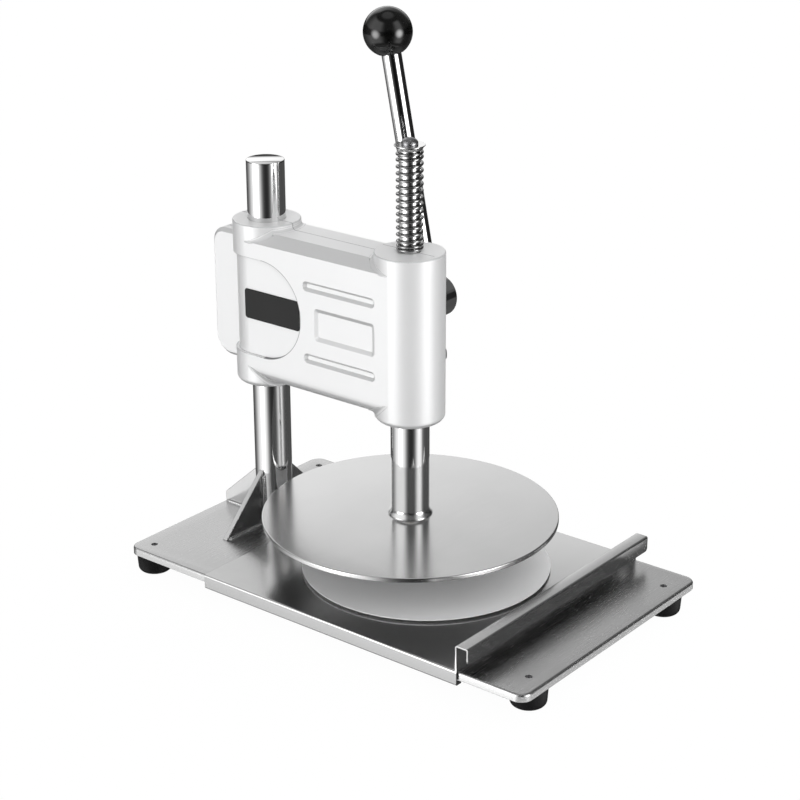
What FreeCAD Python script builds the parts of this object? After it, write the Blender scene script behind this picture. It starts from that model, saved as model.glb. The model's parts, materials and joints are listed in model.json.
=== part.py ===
import FreeCAD, Part
import math
import os

# Hand lever dough press, in millimetres.
# +Z is up, the user stands at -Y and the lever is on the +X side.
# The origin is on the floor under the middle of the base.

Vector = FreeCAD.Vector

# Base sheet and its feet
base_width = 240.0
base_depth = 403.6
base_sheet = 1.5
base_flange = 6.5
base_corner = 10.0
base_bend = 2.0
foot_height = 21.0
foot_top_radius = 15.2
foot_bottom_radius = 14.0
foot_round = 4.5
foot_flange_gap = 0.2
foot_neck_radius = 12.0
foot_end_distance = 15.2
foot_rear_side_distance = 15.2
foot_front_side_distance = 27.2
foot_recess_radius = 6.0
foot_recess_depth = 5.0
foot_bore_gap = 0.2
foot_screw_radius = 2.5
foot_screw_head_radius = 4.75
foot_screw_head_height = 3.0
foot_nut_height = 4.0
foot_nut_radius = 4.6
foot_nut_gap = 0.2
base_hole_radius = 2.75

# Pillar, its bolt and its gusset plates
pillar_radius = 15.6
pillar_length = 314.9
pillar_end_distance = 56.1
pillar_edge = 0.8
stiffener_width = 110.0
stiffener_depth = 90.0
stiffener_thickness = 4.0
pillar_bolt_radius = 6.0
pillar_bolt_engagement = 28.0
pillar_bolt_end_gap = 3.0
pillar_bolt_head_radius = 10.4
pillar_bolt_head_height = 7.5
pillar_washer_radius = 12.0
pillar_washer_thickness = 2.5
gusset_thickness = 4.4
gusset_reach = 63.4
gusset_toe = 0.6
rear_gusset_thickness = 5.0
rear_gusset_height = 57.3
rear_gusset_reach = 55.3
rear_gusset_toe = 8.4
rear_gusset_round = 4.0

# Head casting: how high it stands over the base and how far the shaft is from the pillar
head_lift = 128.0
head_height = 138.5
head_reach = 148.1
boss_radius = 28.0
boss_bottom_round = 5.0
boss_top_round = 1.6
web_top_drop = 5.5
web_shoulder_drop = 13.5
web_top_half_width = 18.0
web_lift = 6.8
web_bottom_round = 11.0
ear_half_width = 10.0
ear_reach = 53.3
ear_lift = 13.5
ear_drop = 14.5
ear_top_round = 13.0
ear_bottom_round = 17.0
ear_edge = 3.0
clamp_slit = 1.0
side_wall = 6.5
cavity_floor = 7.2
cavity_roof = 11.0
cavity_back_wall = 18.1
chamber_floor = 30.0
chamber_roof = 18.5
boss_wall_overlap = 1.0
draft_angle = 1.0

# Recesses in the left face of the head, placed from the pillar, the shaft and the lever's axis
panel_radius = 41.5
panel_lift = 70.1
panel_forward = 17.2
panel_depth = 2.7
slot_start = 13.0
slot_length = 72.9
slot_height = 8.0
slot_depth = 2.35
slot_flank = 2.2
slot_round = 3.4
upper_slot_rise = 20.3
lower_slot_fall = 40.4
window_start = 13.0
window_length = 61.9
window_height = 27.4
window_fall = 19.7
window_depth = 1.6
window_flank = 3.3
window_round = 3.5
label_width = 58.6
label_height = 25.2
label_rise = 1.6
label_forward = 26.6
label_round = 2.5
label_thickness = 0.8
recess_floor_share = 0.4

# Press shaft with its rack, and the guides that carry it
shaft_radius = 15.57
shaft_guide_gap = 0.05
pillar_bore_gap = 0.05
rod_radius = 8.0
lower_bush_radius = 20.0
lower_bush_inset = 0.6
upper_bush_radius = 12.0
upper_bush_length = 14.0
stop_ring_radius = 15.0
stop_ring_thickness = 2.0
rod_bore_gap = 0.4
foot_ring_radius = 18.1
foot_ring_height = 9.6
foot_ring_edge = 0.6
foot_ring_hollow_share = 0.06
grease_screw_rise = 53.0
grease_screw_angle = -45.0
grease_screw_radius = 3.0
grease_screw_head_radius = 5.0
grease_screw_head_height = 1.3
grease_screw_head_taper = 1.6

# Rack and pinion
gear_module = 2.0
pinion_teeth = 20
pressure_angle = 20.0
tooth_backlash = 0.12
root_clearance = 0.5
rack_line = 11.0
rack_below_axis = 17.2
pinion_width = 20.0
lever_axis_rise = 75.7
crank_radius = 9.0
crank_bush_radius = 13.0
blind_wall = 4.6
crank_bush_gap = 0.05
crank_end_gap = 0.4
inner_boss_radius = 19.0
inner_boss_face = 12.0
outer_boss_radius = 22.5
outer_boss_length = 24.0
outer_boss_round = 2.0
outer_bush_inset = 0.2
thrust_ring_radius = 12.5
thrust_ring_gap = 0.05
thrust_washer_radius = 16.0
thrust_washer_thickness = 0.5
thrust_washer_gap = 0.05
key_width = 6.0
key_depth = 3.0
key_length = 18.0

# Lever
hub_radius = 17.2
hub_length = 27.0
hub_edge = 1.0
hub_end_wall = 2.6
lever_in_hub = 13.8
lever_lean = 11.6
lever_rod_radius = 8.0
lever_neck_radius = 6.0
lever_neck_end = 12.5
lever_shoulder = 13.0
knob_distance = 216.6
knob_radius = 19.8
knob_flat = 17.6
knob_stud_radius = 5.0
knob_stud_length = 14.0
knob_bore_gap = 1.0

# Press plate, spring and cap
plate_radius = 120.0
plate_thickness = 4.0
plate_lift = 41.9
plate_edge = 0.5
plate_screw_circle = 9.0
plate_screw_radius = 2.5
plate_screw_head_radius = 4.6
plate_screw_length = 16.0
spring_height = 80.0
spring_wire = 2.2
spring_mean_radius = 9.6
spring_low_count = 2
spring_open_count = 13
spring_high_count = 1
spring_close_pitch = 2.8
cap_bottom_radius = 9.6
cap_top_radius = 12.0
cap_height = 3.8
cap_rim = 0.8
cap_screw_radius = 3.0
cap_screw_length = 18.0
cap_screw_head_radius = 6.6
cap_screw_head_height = 5.5
cap_screw_head_round = 4.6

# Tray
tray_sheet = 1.2
tray_side_gap = 0.8
tray_length = 254.6
tray_pull = 17.0
tray_stop_gap = 0.5
tray_flange = 11.0
tray_lip = 6.4
tray_bend = 1.5
handle_height = 22.5
handle_depth = 11.6
handle_drop = 12.8
handle_end_inset = 0.1
handle_bend = 1.7
handle_corner = 3.0
disc_radius = 100.9
disc_thickness = 2.4
disc_edge = 0.3
disc_shift_right = 3.6
disc_shift_back = 3.2
disc_rivet_radius = 2.5
disc_rivet_circle = 60.0
disc_rivet_depth = 1.4

# Fasteners of the head
shell_screw_radius = 3.0
shell_screw_head_radius = 5.0
shell_screw_head_height = 6.0
shell_screw_seat_depth = 8.0
shell_screw_end = 15.0
shell_screw_hole_gap = 0.3
shell_post_radius = 7.5
shell_screw_start = 35.4
shell_screw_spacing = 66.0
post_sink = 1.0
dowel_radius = 2.5
dowel_length = 16.0
dowel_post_radius = 6.5
clamp_bolt_radius = 4.0
clamp_bolt_distance = 41.0
clamp_bolt_inset = 20.2
clamp_bolt_end = 7.0
clamp_bolt_head_radius = 6.5
clamp_bolt_head_height = 8.0
clamp_bolt_hole_gap = 0.3
clamp_washer_radius = 8.0
clamp_washer_thickness = 1.6
socket_share = 0.5
screw_recess_depth = 1.2

# Heights over the floor and places worked out from the sizes above
base_top = foot_height + base_sheet
base_half_width = base_width / 2
base_half_depth = base_depth / 2
pillar_back = base_half_depth - pillar_end_distance
shaft_front = pillar_back - head_reach
head_bottom = base_top + head_lift
head_top = head_bottom + head_height
web_top = head_top - web_top_drop
web_shoulder = head_top - web_shoulder_drop
web_bottom = head_bottom + web_lift
ear_bottom = head_bottom + ear_lift
ear_top = head_top - ear_drop
cavity_half_width = boss_radius - side_wall
cavity_bottom = web_bottom + cavity_floor
cavity_top = web_top - cavity_roof
cavity_back = pillar_back - pillar_radius - cavity_back_wall
chamber_bottom = head_bottom + chamber_floor
chamber_top = head_top - chamber_roof
pitch_radius = gear_module * pinion_teeth / 2
tooth_pitch = math.pi * gear_module
draft_fall = math.tan(math.radians(draft_angle))
lever_axis_back = shaft_front + rack_line + pitch_radius
lever_axis_up = head_bottom + lever_axis_rise
shaft_shoulder = chamber_top - stop_ring_thickness
rack_bottom = lever_axis_up - rack_below_axis
blind_bush_end = boss_radius - blind_wall
outer_boss_face = boss_radius + outer_boss_length
hub_start = outer_boss_face + thrust_washer_thickness + 2 * thrust_washer_gap
hub_end = hub_start + hub_length
lever_out = hub_start + lever_in_hub
panel_middle_up = head_bottom + panel_lift
panel_middle_back = pillar_back - panel_forward
shell_screw_seat = boss_radius - shell_screw_seat_depth
spring_top = head_top + spring_height
plate_bottom = base_top + plate_lift
plate_top = plate_bottom + plate_thickness
tray_half_width = base_half_width + tray_side_gap + tray_sheet
tray_top = base_top + tray_sheet
tray_back = pillar_back - pillar_radius - tray_stop_gap - tray_pull
tray_front = tray_back - tray_length
disc_middle = shaft_front - tray_pull + disc_shift_back


def box(x0, x1, y0, y1, z0, z1):
    return Part.makeBox(x1 - x0, y1 - y0, z1 - z0, Vector(x0, y0, z0))


def upright(radius, x, y, z0, z1):
    return Part.makeCylinder(radius, z1 - z0, Vector(x, y, z0), Vector(0, 0, 1))


def across(radius, y, z, x0, x1):
    return Part.makeCylinder(radius, x1 - x0, Vector(x0, y, z), Vector(1, 0, 0))


def ring(outer, inner, x, y, z0, z1):
    return upright(outer, x, y, z0, z1).cut(upright(inner, x, y, z0, z1))


def face_of(points):
    return Part.Face(Part.makePolygon(points + [points[0]]))


def prism(points, reach):
    return face_of(points).extrude(reach)


def turned(profile, x, y):
    # The profile is a list of radius and height pairs, turned round an upright axis.
    points = [Vector(x + radius, y, height) for radius, height in profile]
    return face_of(points).revolve(Vector(x, y, 0), Vector(0, 0, 1), 360)


def edges_where(shape, test):
    return [edge for edge in shape.Edges if test(edge.BoundBox)]


def rounded_plate(half_x, half_y, z0, z1, corner):
    plate = box(-half_x, half_x, -half_y, half_y, z0, z1)
    return plate.makeFillet(corner, edges_where(plate, lambda b: b.ZLength > 0.9 * (z1 - z0)))


def hexagon(radius, x, y, z0, z1):
    corners = []
    for number in range(6):
        angle = math.radians(60 * number)
        corners.append(Vector(x + radius * math.cos(angle), y + radius * math.sin(angle), z0))
    return prism(corners, Vector(0, 0, z1 - z0))


def group(solids):
    return Part.makeCompound(solids)


def foot_centres():
    back = base_half_depth - foot_end_distance
    centres = []
    for side in (-1, 1):
        centres.append((side * (base_half_width - foot_rear_side_distance), back))
        centres.append((side * (base_half_width - foot_front_side_distance), -back))
    return centres


# Base

def base_plate():
    bottom = base_top - base_flange
    pan = rounded_plate(base_half_width, base_half_depth, bottom, base_top, base_corner)
    pan = pan.makeFillet(base_bend, edges_where(pan, lambda b: b.ZMin > base_top - 0.01))
    hollow = rounded_plate(base_half_width - base_sheet, base_half_depth - base_sheet,
                           bottom, foot_height, base_corner - base_sheet)
    pan = pan.cut(hollow)
    for x, y in foot_centres():
        pan = pan.cut(upright(base_hole_radius, x, y, foot_height, base_top))
    bolt_hole = upright(pillar_bolt_radius, 0, pillar_back, foot_height, base_top)
    return pan.cut(bolt_hole)


def base_stiffener():
    top = foot_height
    low = top - stiffener_thickness
    plate = box(-stiffener_width / 2, stiffener_width / 2, pillar_back - stiffener_depth / 2,
                pillar_back + stiffener_depth / 2, low, top)
    return plate.cut(upright(pillar_bolt_radius, 0, pillar_back, low, top))


def rubber_feet():
    shoulder = base_top - base_flange - foot_flange_gap
    bore = foot_screw_radius + foot_bore_gap
    pocket = foot_nut_radius + foot_nut_gap
    pocket_bottom = foot_height - foot_nut_height - foot_nut_gap
    feet = []
    for x, y in foot_centres():
        body = Part.makeCone(foot_bottom_radius, foot_top_radius, shoulder, Vector(x, y, 0))
        body = body.makeFillet(foot_round, edges_where(body, lambda b: b.ZMax < 0.01))
        body = body.fuse(upright(foot_neck_radius, x, y, shoulder, foot_height))
        body = body.cut(upright(foot_recess_radius, x, y, 0, foot_recess_depth))
        body = body.cut(upright(bore, x, y, 0, foot_height))
        feet.append(body.cut(upright(pocket, x, y, pocket_bottom, foot_height)))
    return group(feet)


def foot_screws():
    head_low = foot_recess_depth - foot_screw_head_height
    tip = foot_height - foot_nut_gap
    slot = foot_screw_head_radius * socket_share
    screws = []
    for x, y in foot_centres():
        screw = upright(foot_screw_head_radius, x, y, head_low, foot_recess_depth)
        screw = screw.fuse(upright(foot_screw_radius, x, y, foot_recess_depth, tip))
        screws.append(screw.cut(hexagon(slot, x, y, head_low, head_low + screw_recess_depth)))
    return group(screws)


def foot_nuts():
    low = foot_height - foot_nut_height
    nuts = []
    for x, y in foot_centres():
        nut = hexagon(foot_nut_radius, x, y, low, foot_height)
        nuts.append(nut.cut(upright(foot_screw_radius, x, y, low, foot_height)))
    return group(nuts)


# Pillar

def pillar():
    top = base_top + pillar_length
    bar = upright(pillar_radius, 0, pillar_back, base_top, top)
    bar = bar.makeChamfer(pillar_edge, edges_where(bar, lambda b: b.ZMin > top - 0.01))
    thread_top = base_top + pillar_bolt_engagement + pillar_bolt_end_gap
    return bar.cut(upright(pillar_bolt_radius, 0, pillar_back, base_top, thread_top))


def pillar_washer():
    top = foot_height - stiffener_thickness
    low = top - pillar_washer_thickness
    return ring(pillar_washer_radius, pillar_bolt_radius, 0, pillar_back, low, top)


def pillar_bolt():
    head_top_height = foot_height - stiffener_thickness - pillar_washer_thickness
    head_low = head_top_height - pillar_bolt_head_height
    head = hexagon(pillar_bolt_head_radius, 0, pillar_back, head_low, head_top_height)
    tip = base_top + pillar_bolt_engagement
    return head.fuse(upright(pillar_bolt_radius, 0, pillar_back, head_top_height, tip))


def side_gusset(side):
    low = pillar_back - gusset_thickness / 2
    outline = [(0, 0), (gusset_reach - gusset_toe, 0), (gusset_reach - gusset_toe, gusset_toe),
               (0, gusset_reach)]
    points = [Vector(side * out, low, base_top + up) for out, up in outline]
    plate = prism(points, Vector(0, gusset_thickness, 0))
    return plate.cut(upright(pillar_radius, 0, pillar_back, 0, base_top + pillar_length))


def gusset_rear():
    half = rear_gusset_thickness / 2
    outline = [(0, 0), (rear_gusset_reach, 0), (rear_gusset_reach, rear_gusset_toe),
               (0, rear_gusset_height)]
    points = [Vector(-half, pillar_back + out, base_top + up) for out, up in outline]
    plate = prism(points, Vector(rear_gusset_thickness, 0, 0))
    toe_back = pillar_back + rear_gusset_reach - 0.01
    toe_up = base_top + rear_gusset_toe - 0.01
    toe = edges_where(plate, lambda b: b.YMin > toe_back and b.ZMin > toe_up)
    plate = plate.makeFillet(rear_gusset_round, toe)
    return plate.cut(upright(pillar_radius, 0, pillar_back, 0, base_top + pillar_length))


# Head casting

def boss(back):
    body = upright(boss_radius, 0, back, head_bottom, head_top)
    low_rim = edges_where(body, lambda b: b.ZMax < head_bottom + 0.01)
    body = body.makeFillet(boss_bottom_round, low_rim)
    return body.makeFillet(boss_top_round, edges_where(body, lambda b: b.ZMin > head_top - 0.01))


def web():
    edge = web_top - draft_fall * web_top_half_width
    outline = [(-boss_radius, web_bottom), (boss_radius, web_bottom), (boss_radius, web_shoulder),
               (web_top_half_width, edge), (0, web_top), (-web_top_half_width, edge),
               (-boss_radius, web_shoulder)]
    points = [Vector(x, shaft_front, up) for x, up in outline]
    body = prism(points, Vector(0, head_reach, 0))
    lower_edges = edges_where(body, lambda b: b.ZMax < web_bottom + 0.01 and b.YLength > 1)
    return body.makeFillet(web_bottom_round, lower_edges)


def clamp_ear():
    back = pillar_back + ear_reach
    body = box(-ear_half_width, ear_half_width, pillar_back, back, ear_bottom, ear_top)
    top_corner = edges_where(body, lambda b: b.YMin > back - 0.01 and b.ZMin > ear_top - 0.01)
    body = body.makeFillet(ear_top_round, top_corner)
    low_corner = edges_where(body, lambda b: b.YMin > back - 0.01 and b.ZMax < ear_bottom + 0.01)
    body = body.makeFillet(ear_bottom_round, low_corner)

    def on_outline(b):
        return b.XLength < 0.01 and b.YMax > pillar_back + 1
    return body.makeChamfer(ear_edge, edges_where(body, on_outline))


def recess(start, length, low, height, depth, flank, corner):
    # A sunk panel in the left face: its sloped sides narrow by the flank width to its floor.
    front = shaft_front + start

    def outline(x, inset):
        body = box(x, x + 1, front + inset, front + length - inset, low + inset,
                   low + height - inset)
        radius = max(corner - inset, corner * recess_floor_share)
        body = body.makeFillet(radius, edges_where(body, lambda b: b.XLength > 0.5))
        flat = [face for face in body.Faces if face.BoundBox.XMax < x + 0.01]
        return flat[0].OuterWire
    return Part.makeLoft([outline(-boss_radius, 0), outline(depth - boss_radius, flank)],
                         True, True)


def label_panel():
    # The sunk panel has a half round front end and runs off the back of the rear boss.
    floor = boss_radius - panel_depth
    low = panel_middle_up - panel_radius
    high = panel_middle_up + panel_radius
    outside = -boss_radius - 1
    outline = across(panel_radius, panel_middle_back, panel_middle_up, outside, -ear_half_width)
    outline = outline.fuse(box(outside, -ear_half_width, panel_middle_back,
                               pillar_back + boss_radius + 1, low, high))
    core = box(-floor, 0, panel_middle_back - panel_radius, pillar_back, low, high)
    core = core.fuse(upright(floor, 0, pillar_back, low, high))
    return outline.cut(core)


def post_levels(radius):
    # Posts stand along the floor and the roof of the cavity and sink a little into them.
    reach = radius - post_sink
    return [cavity_bottom + reach, cavity_top - reach]


def post_places():
    front = shaft_front + shell_screw_start
    return [(back, up) for back in (front, front + shell_screw_spacing)
            for up in post_levels(shell_post_radius)]


def dowel_places():
    middle = shaft_front + shell_screw_start + shell_screw_spacing / 2
    return [(middle, up) for up in post_levels(dowel_post_radius)]


def clamp_places():
    back = pillar_back + clamp_bolt_distance
    return [(back, ear_bottom + clamp_bolt_inset), (back, ear_top - clamp_bolt_inset)]


def cavity():
    # The hollow that the rack and the pinion run in, less the posts and bearing bosses.
    half = cavity_half_width
    behind_boss = shaft_front + boss_radius - boss_wall_overlap
    space = box(-half, half, behind_boss, cavity_back, cavity_bottom, cavity_top)
    space = space.fuse(box(-half, half, shaft_front, behind_boss, chamber_bottom, chamber_top))
    space = space.fuse(upright(half, 0, shaft_front, chamber_bottom, chamber_top))
    for back_place, up in post_places():
        space = space.cut(across(shell_post_radius, back_place, up, -boss_radius, boss_radius))
    for back_place, up in dowel_places():
        space = space.cut(across(dowel_post_radius, back_place, up, -boss_radius, boss_radius))
    for start, end in ((-boss_radius, -inner_boss_face), (inner_boss_face, boss_radius)):
        space = space.cut(across(inner_boss_radius, lever_axis_back, lever_axis_up, start, end))
    return space


def outer_boss():
    body = across(outer_boss_radius, lever_axis_back, lever_axis_up, 0, outer_boss_face)
    rim = edges_where(body, lambda b: b.XMin > outer_boss_face - 0.01)
    return body.makeFillet(outer_boss_round, rim)


def grease_screw_axis():
    angle = math.radians(grease_screw_angle)
    return Vector(math.cos(angle), math.sin(angle), 0)


def grease_screw_seat():
    sagitta = boss_radius - math.sqrt(boss_radius ** 2 - grease_screw_head_radius ** 2)
    return boss_radius - sagitta


def grease_screw_hole():
    axis = grease_screw_axis()
    centre = Vector(0, shaft_front, head_bottom + grease_screw_rise)
    hole = Part.makeCylinder(grease_screw_radius, boss_radius, centre + axis * shaft_radius, axis)
    seat = Part.makeCylinder(grease_screw_head_radius, boss_radius,
                             centre + axis * grease_screw_seat(), axis)
    return hole.fuse(seat)


def head_casting():
    body = boss(shaft_front).fuse([boss(pillar_back), web(), clamp_ear(), outer_boss()])
    body = body.removeSplitter()
    body = body.cut(cavity())
    body = body.cut(upright(pillar_radius + pillar_bore_gap, 0, pillar_back, head_bottom,
                            head_top))
    body = body.cut(upright(lower_bush_radius, 0, shaft_front, head_bottom, chamber_bottom))
    upper_bush_top = chamber_top + upper_bush_length
    body = body.cut(upright(upper_bush_radius, 0, shaft_front, chamber_top, upper_bush_top))
    body = body.cut(upright(rod_radius + rod_bore_gap, 0, shaft_front, upper_bush_top, head_top))
    body = body.cut(across(crank_bush_radius, lever_axis_back, lever_axis_up, -blind_bush_end,
                           outer_boss_face))
    slit_front = pillar_back + pillar_radius - 1
    body = body.cut(box(-clamp_slit / 2, clamp_slit / 2, slit_front, pillar_back + ear_reach,
                        head_bottom, head_top))
    for back, up in dowel_places():
        body = body.cut(across(dowel_radius, back, up, -dowel_length / 2, dowel_length / 2))
    return body.cut(grease_screw_hole())


def top_draft(side):
    # The boss tops fall away from the parting plane, as the mould needs.
    far = boss_radius + 2
    front = shaft_front - boss_radius
    points = [Vector(0, front, head_top), Vector(side * far, front, head_top - draft_fall * far),
              Vector(side * far, front, head_top + 1), Vector(0, front, head_top + 1)]
    return prism(points, Vector(0, head_reach + 2 * boss_radius, 0))


def head_shell_left(casting):
    half = casting.common(box(-boss_radius, 0, shaft_front - boss_radius,
                              pillar_back + ear_reach, head_bottom, head_top))
    half = half.cut(top_draft(-1)).cut(label_panel())
    for low in (lever_axis_up + upper_slot_rise, lever_axis_up - lower_slot_fall):
        half = half.cut(recess(slot_start, slot_length, low, slot_height, slot_depth, slot_flank,
                               slot_round))
    half = half.cut(recess(window_start, window_length, lever_axis_up - window_fall,
                           window_height, window_depth, window_flank, window_round))
    for back, up in post_places():
        half = half.cut(across(shell_screw_radius, back, up, -shell_screw_end, 0))
    for back, up in clamp_places():
        half = half.cut(across(clamp_bolt_radius, back, up, -clamp_bolt_end, 0))
    return half


def head_shell_right(casting):
    half = casting.common(box(0, outer_boss_face, shaft_front - boss_radius,
                              pillar_back + ear_reach, head_bottom, head_top))
    half = half.cut(top_draft(1))
    for back, up in post_places():
        shank = across(shell_screw_radius + shell_screw_hole_gap, back, up, 0, boss_radius)
        seat = across(shell_screw_head_radius + shell_screw_hole_gap, back, up, shell_screw_seat,
                      boss_radius)
        half = half.cut(shank.fuse(seat))
    for back, up in clamp_places():
        half = half.cut(across(clamp_bolt_radius + clamp_bolt_hole_gap, back, up, 0,
                               ear_half_width))
    return half


def label_plate():
    outside = -(boss_radius - panel_depth)
    low = panel_middle_up + label_rise - label_height / 2
    front = pillar_back - label_forward - label_width / 2
    plate = box(outside - label_thickness, outside, front, front + label_width, low,
                low + label_height)
    corners = edges_where(plate, lambda b: b.XLength > label_thickness / 2)
    return plate.makeFillet(label_round, corners)


def socket_screw(shank, head, head_height, back, up, start, seat):
    # A screw along X: the shank runs from its tip to the seat and the head stands outside it.
    body = across(shank, back, up, start, seat)
    body = body.fuse(across(head, back, up, seat, seat + head_height))
    socket = head * socket_share
    corners = []
    for number in range(6):
        angle = math.radians(60 * number)
        corners.append(Vector(seat + head_height / 2, back + socket * math.cos(angle),
                              up + socket * math.sin(angle)))
    return body.cut(prism(corners, Vector(head_height / 2, 0, 0)))


def shell_screws():
    return group([socket_screw(shell_screw_radius, shell_screw_head_radius,
                               shell_screw_head_height, back, up, -shell_screw_end,
                               shell_screw_seat) for back, up in post_places()])


def clamp_bolts():
    seat = ear_half_width + clamp_washer_thickness
    return group([socket_screw(clamp_bolt_radius, clamp_bolt_head_radius, clamp_bolt_head_height,
                               back, up, -clamp_bolt_end, seat) for back, up in clamp_places()])


def clamp_washers():
    washers = []
    for back, up in clamp_places():
        washer = across(clamp_washer_radius, back, up, ear_half_width,
                        ear_half_width + clamp_washer_thickness)
        hole = across(clamp_bolt_radius, back, up, ear_half_width,
                      ear_half_width + clamp_washer_thickness)
        washers.append(washer.cut(hole))
    return group(washers)


def dowel_pins():
    return group([across(dowel_radius, back, up, -dowel_length / 2, dowel_length / 2)
                  for back, up in dowel_places()])


def grease_screw():
    axis = grease_screw_axis()
    centre = Vector(0, shaft_front, head_bottom + grease_screw_rise)
    seat = centre + axis * grease_screw_seat()
    reach = grease_screw_seat() - cavity_half_width
    shank = Part.makeCylinder(grease_screw_radius, reach, seat - axis * reach, axis)
    head = Part.makeCone(grease_screw_head_radius, grease_screw_head_radius - grease_screw_head_taper,
                         grease_screw_head_height, seat, axis)
    return shank.fuse(head)


# Guides and bearings

def lower_guide_bush():
    return ring(lower_bush_radius, shaft_radius + shaft_guide_gap, 0, shaft_front,
                head_bottom + lower_bush_inset, chamber_bottom)


def upper_guide_bush():
    return ring(upper_bush_radius, rod_radius + shaft_guide_gap, 0, shaft_front, chamber_top,
                chamber_top + upper_bush_length)


def stop_ring():
    return ring(stop_ring_radius, rod_radius + rod_bore_gap, 0, shaft_front, shaft_shoulder,
                chamber_top)


def crank_bush(start, end):
    bore = across(crank_radius + crank_bush_gap, lever_axis_back, lever_axis_up, start, end)
    return across(crank_bush_radius, lever_axis_back, lever_axis_up, start, end).cut(bore)


# Rack, pinion and crank shaft

def pinion_outline():
    # Involute flanks down to the base circle, then straight to the root circle.
    base_radius = pitch_radius * math.cos(math.radians(pressure_angle))
    tip_radius = pitch_radius + gear_module
    root_radius = pitch_radius - gear_module - root_clearance
    pitch_half = (tooth_pitch / 4 - tooth_backlash / 2) / pitch_radius
    at_pitch = math.tan(math.radians(pressure_angle)) - math.radians(pressure_angle)

    def half_angle(radius):
        roll = math.acos(min(1.0, base_radius / radius))
        return pitch_half + at_pitch - (math.tan(roll) - roll)

    def point(radius, angle):
        return Vector(-pinion_width / 2, lever_axis_back + radius * math.cos(angle),
                      lever_axis_up + radius * math.sin(angle))
    steps = 5
    radii = [base_radius + (tip_radius - base_radius) * number / steps
             for number in range(steps + 1)]
    points = []
    for tooth in range(pinion_teeth):
        middle = math.pi + tooth * 2 * math.pi / pinion_teeth
        points.append(point(root_radius, middle - half_angle(base_radius)))
        points += [point(radius, middle - half_angle(radius)) for radius in radii]
        points += [point(radius, middle + half_angle(radius)) for radius in reversed(radii)]
        points.append(point(root_radius, middle + half_angle(base_radius)))
    return points


def key_space():
    length = key_length / 2
    low = crank_radius - key_depth
    return box(-length, length, lever_axis_back - key_width / 2, lever_axis_back + key_width / 2,
               lever_axis_up + low, lever_axis_up + low + key_width)


def drive_pinion():
    gear = prism(pinion_outline(), Vector(pinion_width, 0, 0))
    bore = across(crank_radius, lever_axis_back, lever_axis_up, -pinion_width / 2,
                  pinion_width / 2)
    return gear.cut(bore).cut(key_space())


def pinion_key():
    return key_space()


def thrust_rings():
    rings = []
    inside = pinion_width / 2 + thrust_ring_gap
    outside = inner_boss_face - thrust_ring_gap
    for start, end in ((-outside, -inside), (inside, outside)):
        body = across(thrust_ring_radius, lever_axis_back, lever_axis_up, start, end)
        rings.append(body.cut(across(crank_radius, lever_axis_back, lever_axis_up, start, end)))
    return group(rings)


def lever_direction():
    lean = math.radians(lever_lean)
    return Vector(0, math.sin(lean), math.cos(lean))


def along_lever(radius, start, end):
    foot = Vector(lever_out, lever_axis_back, lever_axis_up)
    direction = lever_direction()
    return Part.makeCylinder(radius, end - start, foot + direction * start, direction)


def crank_shaft():
    start = -blind_bush_end + crank_end_gap
    bar = across(crank_radius, lever_axis_back, lever_axis_up, start, hub_end - hub_end_wall)
    bar = bar.cut(key_space())
    return bar.cut(along_lever(lever_neck_radius, -hub_radius, hub_radius))


def thrust_washer():
    start = outer_boss_face + thrust_washer_gap
    end = start + thrust_washer_thickness
    body = across(thrust_washer_radius, lever_axis_back, lever_axis_up, start, end)
    return body.cut(across(crank_radius, lever_axis_back, lever_axis_up, start, end))


def lever_hub():
    body = across(hub_radius, lever_axis_back, lever_axis_up, hub_start, hub_end)
    body = body.makeFillet(hub_edge, edges_where(body, lambda b: b.XLength < 0.01))
    body = body.cut(across(crank_radius, lever_axis_back, lever_axis_up, hub_start,
                           hub_end - hub_end_wall))
    body = body.cut(along_lever(lever_neck_radius, -lever_neck_end, hub_radius))
    return body.cut(along_lever(lever_rod_radius, lever_shoulder, hub_radius + 5))


def lever_rod():
    top = knob_distance - knob_flat
    rod = along_lever(lever_rod_radius, lever_shoulder, top)
    neck = along_lever(lever_neck_radius, -lever_neck_end, lever_shoulder)
    stud = along_lever(knob_stud_radius, top, top + knob_stud_length)
    return rod.fuse([neck, stud])


def lever_knob():
    foot = Vector(lever_out, lever_axis_back, lever_axis_up)
    ball = Part.makeSphere(knob_radius, foot + lever_direction() * knob_distance)
    top = knob_distance - knob_flat
    ball = ball.cut(along_lever(knob_radius, top - knob_radius, top))
    return ball.cut(along_lever(knob_stud_radius, top, top + knob_stud_length + knob_bore_gap))


def rack_gap(number):
    # One tooth space: straight flanks at the pressure angle, narrowest at the root.
    middle = lever_axis_up + number * tooth_pitch
    slope = math.tan(math.radians(pressure_angle))
    half = tooth_pitch / 4 + tooth_backlash / 2
    inside = -(gear_module + root_clearance)
    outside = gear_module
    points = []
    for offset, sign in ((inside, -1), (outside, -1), (outside, 1), (inside, 1)):
        up = middle + sign * (half + offset * slope)
        points.append(Vector(-shaft_radius, shaft_front + rack_line + offset, up))
    return prism(points, Vector(2 * shaft_radius, 0, 0))


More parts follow.
